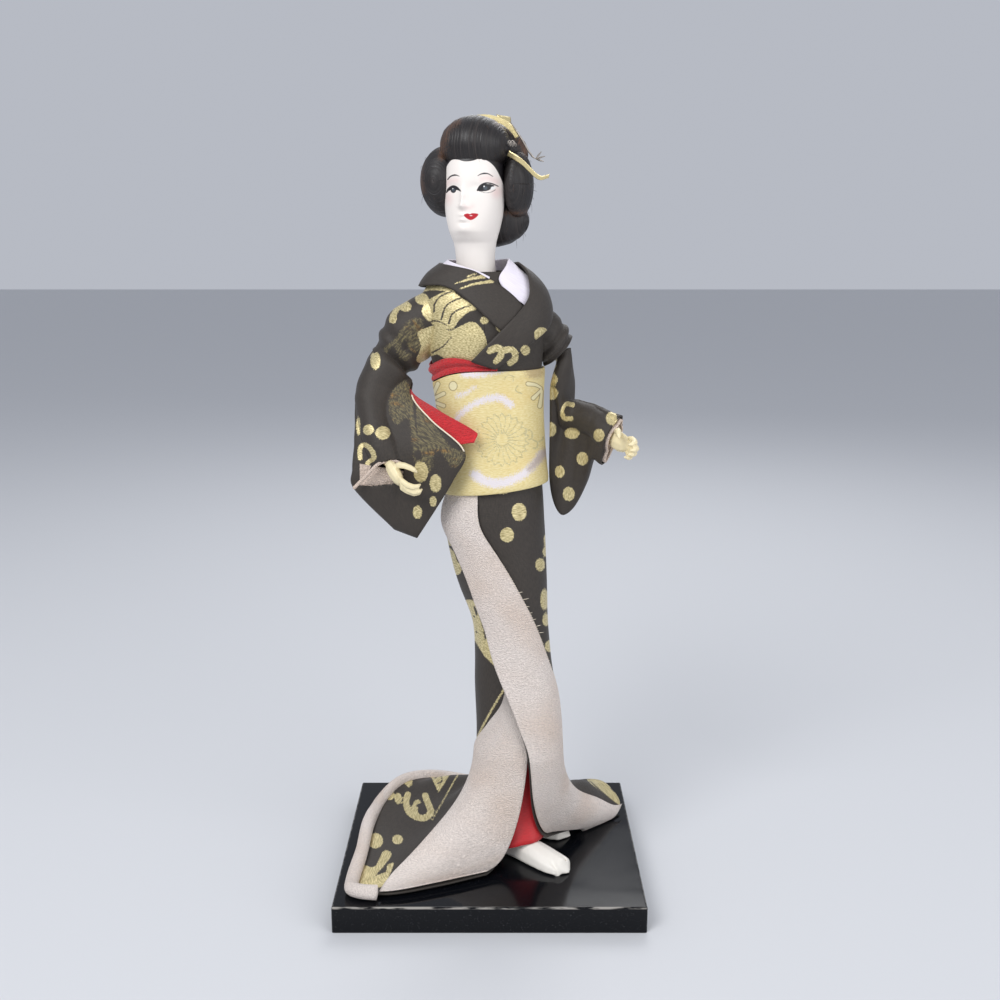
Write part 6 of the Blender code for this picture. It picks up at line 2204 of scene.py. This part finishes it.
@dataclass
class Head(Assembly):
    """The painted head, the wig and its ornaments.

    The pin's path is in the head's frame; the leaf's corners and the loops are places in the picture
    with their depth (mm). The painted scalp lies behind the head's middle, above its nape.
    """

    pin_path: Rows = ((14.9, -0.2, 17.8), (20.9, -0.3, 14.2), (26.6, 4.0, 8.3), (30.0, 7.6, 8.8))
    pin_way: tuple[float, float, float] = (0.45, -0.35, 0.82)
    pin_half_width: float = 1.2
    pin_foil: float = 0.4 * MM
    leaf: Rows = ((496.0, 114.5, 6.0), (510.5, 117.0, 9.0), (512.5, 132.0, 5.0))
    leaf_foil: float = 0.15 * MM
    loop_count: int = 6
    loop_place: tuple[float, float, float] = (509.0, 142.5, -8.0)
    loop_step: tuple[float, float] = (1.1, 1.3)
    loop: Rows = ((-1.2, 2.0), (-0.2, -1.8), (1.6, -1.2), (1.0, 2.2))
    loop_radius: float = 0.2
    loose_hairs: int = 26
    loose_hair_radii: tuple[float, ...] = (0.09, 0.07, 0.03)
    scalp_back: float = 4.0
    scalp_nape: float = -19.0
    scalp_crown: float = 17.5

    def build(self) -> None:
        """Builds the head and what is on it."""
        self.build_face()
        for name, (middle, axes, pole) in HAIR_FORMS.items():
            self.build_hair(name, middle, axes, pole)
        self.build_ornaments()
        self.build_loose_hairs()

    @staticmethod
    def placed(surface: Surface) -> Surface:
        """A surface of the head's own frame, set in the figure."""
        place = head_frame()
        return lambda u, v: place @ surface(u, v)

    def build_face(self) -> None:
        """The head and neck, with the face painted on."""

        def surface(u: float, v: float) -> Vector:
            share = 1 - (1 - v) ** 1.15
            turn = u - 0.5
            turn += math.sin(math.tau * turn) * -0.055
            return head_point(turn, HEAD_ROWS[0][0] + (HEAD_ROWS[-1][0] - HEAD_ROWS[0][0]) * share)

        bm = grid_bmesh(self.placed(surface), 280, 300, closed=True)
        bmesh.ops.holes_fill(bm, edges=[edge for edge in bm.edges if edge.is_boundary], sides=0)
        made = self.add("painted_head", bm, self.wardrobe.face, "face", ["head"])
        draw_on(made, [FACE_DRAWING], (Layer.BLUSH_AND_SHADE, Layer.RED, Layer.BLACK, Layer.BLUE, Layer.WHITE))
        self.paint_scalp(made)

    def paint_scalp(self, made: Piece) -> None:
        """Paints the head black under the wig."""
        to_head = head_frame().inverted()
        painted = made.data.attributes[Layer.BLACK.value].data
        for vert, paint in zip(made.data.vertices, painted):
            place = to_head @ ((vert.co - Vector((0, 0, FIGURE_BASE))) / MM)
            behind = min(place.y - self.scalp_back, place.z - self.scalp_nape)
            paint.value = max(paint.value, behind, place.z - self.scalp_crown)

    def build_hair(self, name: str, middle: Sequence[float], axes: Sequence[float], pole: str) -> None:
        """One combed form, grooved along its strands.

        Args:
            name: The form's node.
            middle: Its middle in the head's frame.
            axes: Its half axes.
            pole: The axis that its strands are combed round.
        """
        turn = {"X": Matrix.Rotation(math.pi / 2, 3, "Y"), "Y": Matrix.Rotation(math.pi / 2, 3, "X")}[pole]

        def surface(u: float, v: float) -> Vector:
            around, rise = math.tau * u, math.pi * (v - 0.5) * 0.995
            ball = turn @ sphere_point(around, rise)
            lock = stirred((v * 100, u * 3, 0), 5.2, 6.6)
            strand = stirred((v * 100, u * 4, 0), 0.9, 1.4)
            grow = 1 + 0.022 * lock + 0.010 * strand
            return Vector(m + b * a * grow for m, b, a in zip(middle, ball, axes))

        bm = grid_bmesh(self.placed(surface), 130, 210, closed=True)
        bmesh.ops.holes_fill(bm, edges=[edge for edge in bm.edges if edge.is_boundary], sides=0)
        made = self.add(f"combed_{name}", bm, self.wardrobe.hair, "hair", [name])
        draw_on(made, [HAIR_DRAWING], (Layer.BROWN,))

    def build_ornaments(self) -> None:
        """The bent hairpin, the gilt leaf and the silver loops."""
        path = [(i / (len(self.pin_path) - 1), *point) for i, point in enumerate(self.pin_path)]

        def strip(u: float, v: float) -> Vector:
            point = Vector(interpolated(path, v))
            return point + Vector(self.pin_way) * self.pin_half_width * (2 * u - 1) * (1 - 0.35 * v)

        bm = grid_bmesh(self.placed(strip), 6, 60)
        self.add("gilt_hairpin", bm, self.wardrobe.gilt, "gold_paper", ["hairpin"], self.pin_foil)
        self.build_small_ornaments()

    def build_small_ornaments(self) -> None:
        """A gilt leaf at the top of the wig, and loops of silver wire where the pin goes in."""
        corners = [from_picture(*corner) for corner in self.leaf]
        bm = bmesh.new()
        leaf = bm.faces.new([bm.verts.new(corner) for corner in corners])
        bmesh.ops.subdivide_edges(bm, edges=leaf.edges[:], cuts=6, use_grid_fill=True)
        self.add("gilt_leaf", bm, self.wardrobe.gilt, "gold_paper", (), self.leaf_foil)
        loops = []
        first_x, first_y, first_depth = self.loop_place
        for i in range(self.loop_count):
            x, y = first_x + self.loop_step[0] * i, first_y + self.loop_step[1] * (i % 3)
            points = [figure_point(x + right, y + down, first_depth + i) for right, down in self.loop]
            loops.append((points, [self.loop_radius] * len(points)))
        self.add("silver_loops", tubes_bmesh(loops, 6, 12), self.wardrobe.silver, "silver_wire")

    def build_loose_hairs(self) -> None:
        """Fine hairs that stand off the wig."""
        place = head_frame()
        random = np.random.default_rng(5)
        hairs = []
        for middle, axes, _ in HAIR_FORMS.values():
            for _ in range(self.loose_hairs):
                turn, rise = random.uniform(0, math.tau), random.uniform(-0.9, 0.9)
                way = sphere_point(turn, rise)
                root = Vector(m + w * a for m, w, a in zip(middle, way, axes))
                side = way.cross(Vector((0, 0, 1))).normalized() * random.uniform(-3.0, 3.0)
                drop = Vector((0, 0, -random.uniform(0.5, 4.0)))
                points = [root - way, root + way * 0.5 + side * 0.4, root + way * 0.9 + side + drop]
                hairs.append(([place @ point for point in points], self.loose_hair_radii))
        self.add("loose_hairs", tubes_bmesh(hairs, 3, 6), self.wardrobe.hair, "hair")


@dataclass
class Hands(Assembly):
    """Both moulded hands, smoothed."""

    def build(self) -> None:
        """Builds the hands from their coarse forms."""
        for name in ("right_forearm", "left_forearm"):
            made = remeshed(self.nodes[name], f"moulded_{name}", 0.3 * MM, 6)
            self.cover(made, self.nodes[name], "hand", "hand")


def main() -> None:
    """Builds the studio and dresses the doll."""
    logging.basicConfig(level=logging.INFO, format="%(name)s: %(message)s")
    nodes = frame["nodes"]
    wardrobe = Wardrobe()
    for assembly in (Studio, Plinth, Feet, Skirt, Bodice, Sash, Sleeves, Head, Hands):
        LOG.info("building: %s", assembly.__name__)
        assembly(wardrobe, nodes).build()
    dress(nodes["wire_spray"], wardrobe.silver)
    dress(nodes["hair_comb"], wardrobe.gilt)


if __name__ == "__main__":
    main()
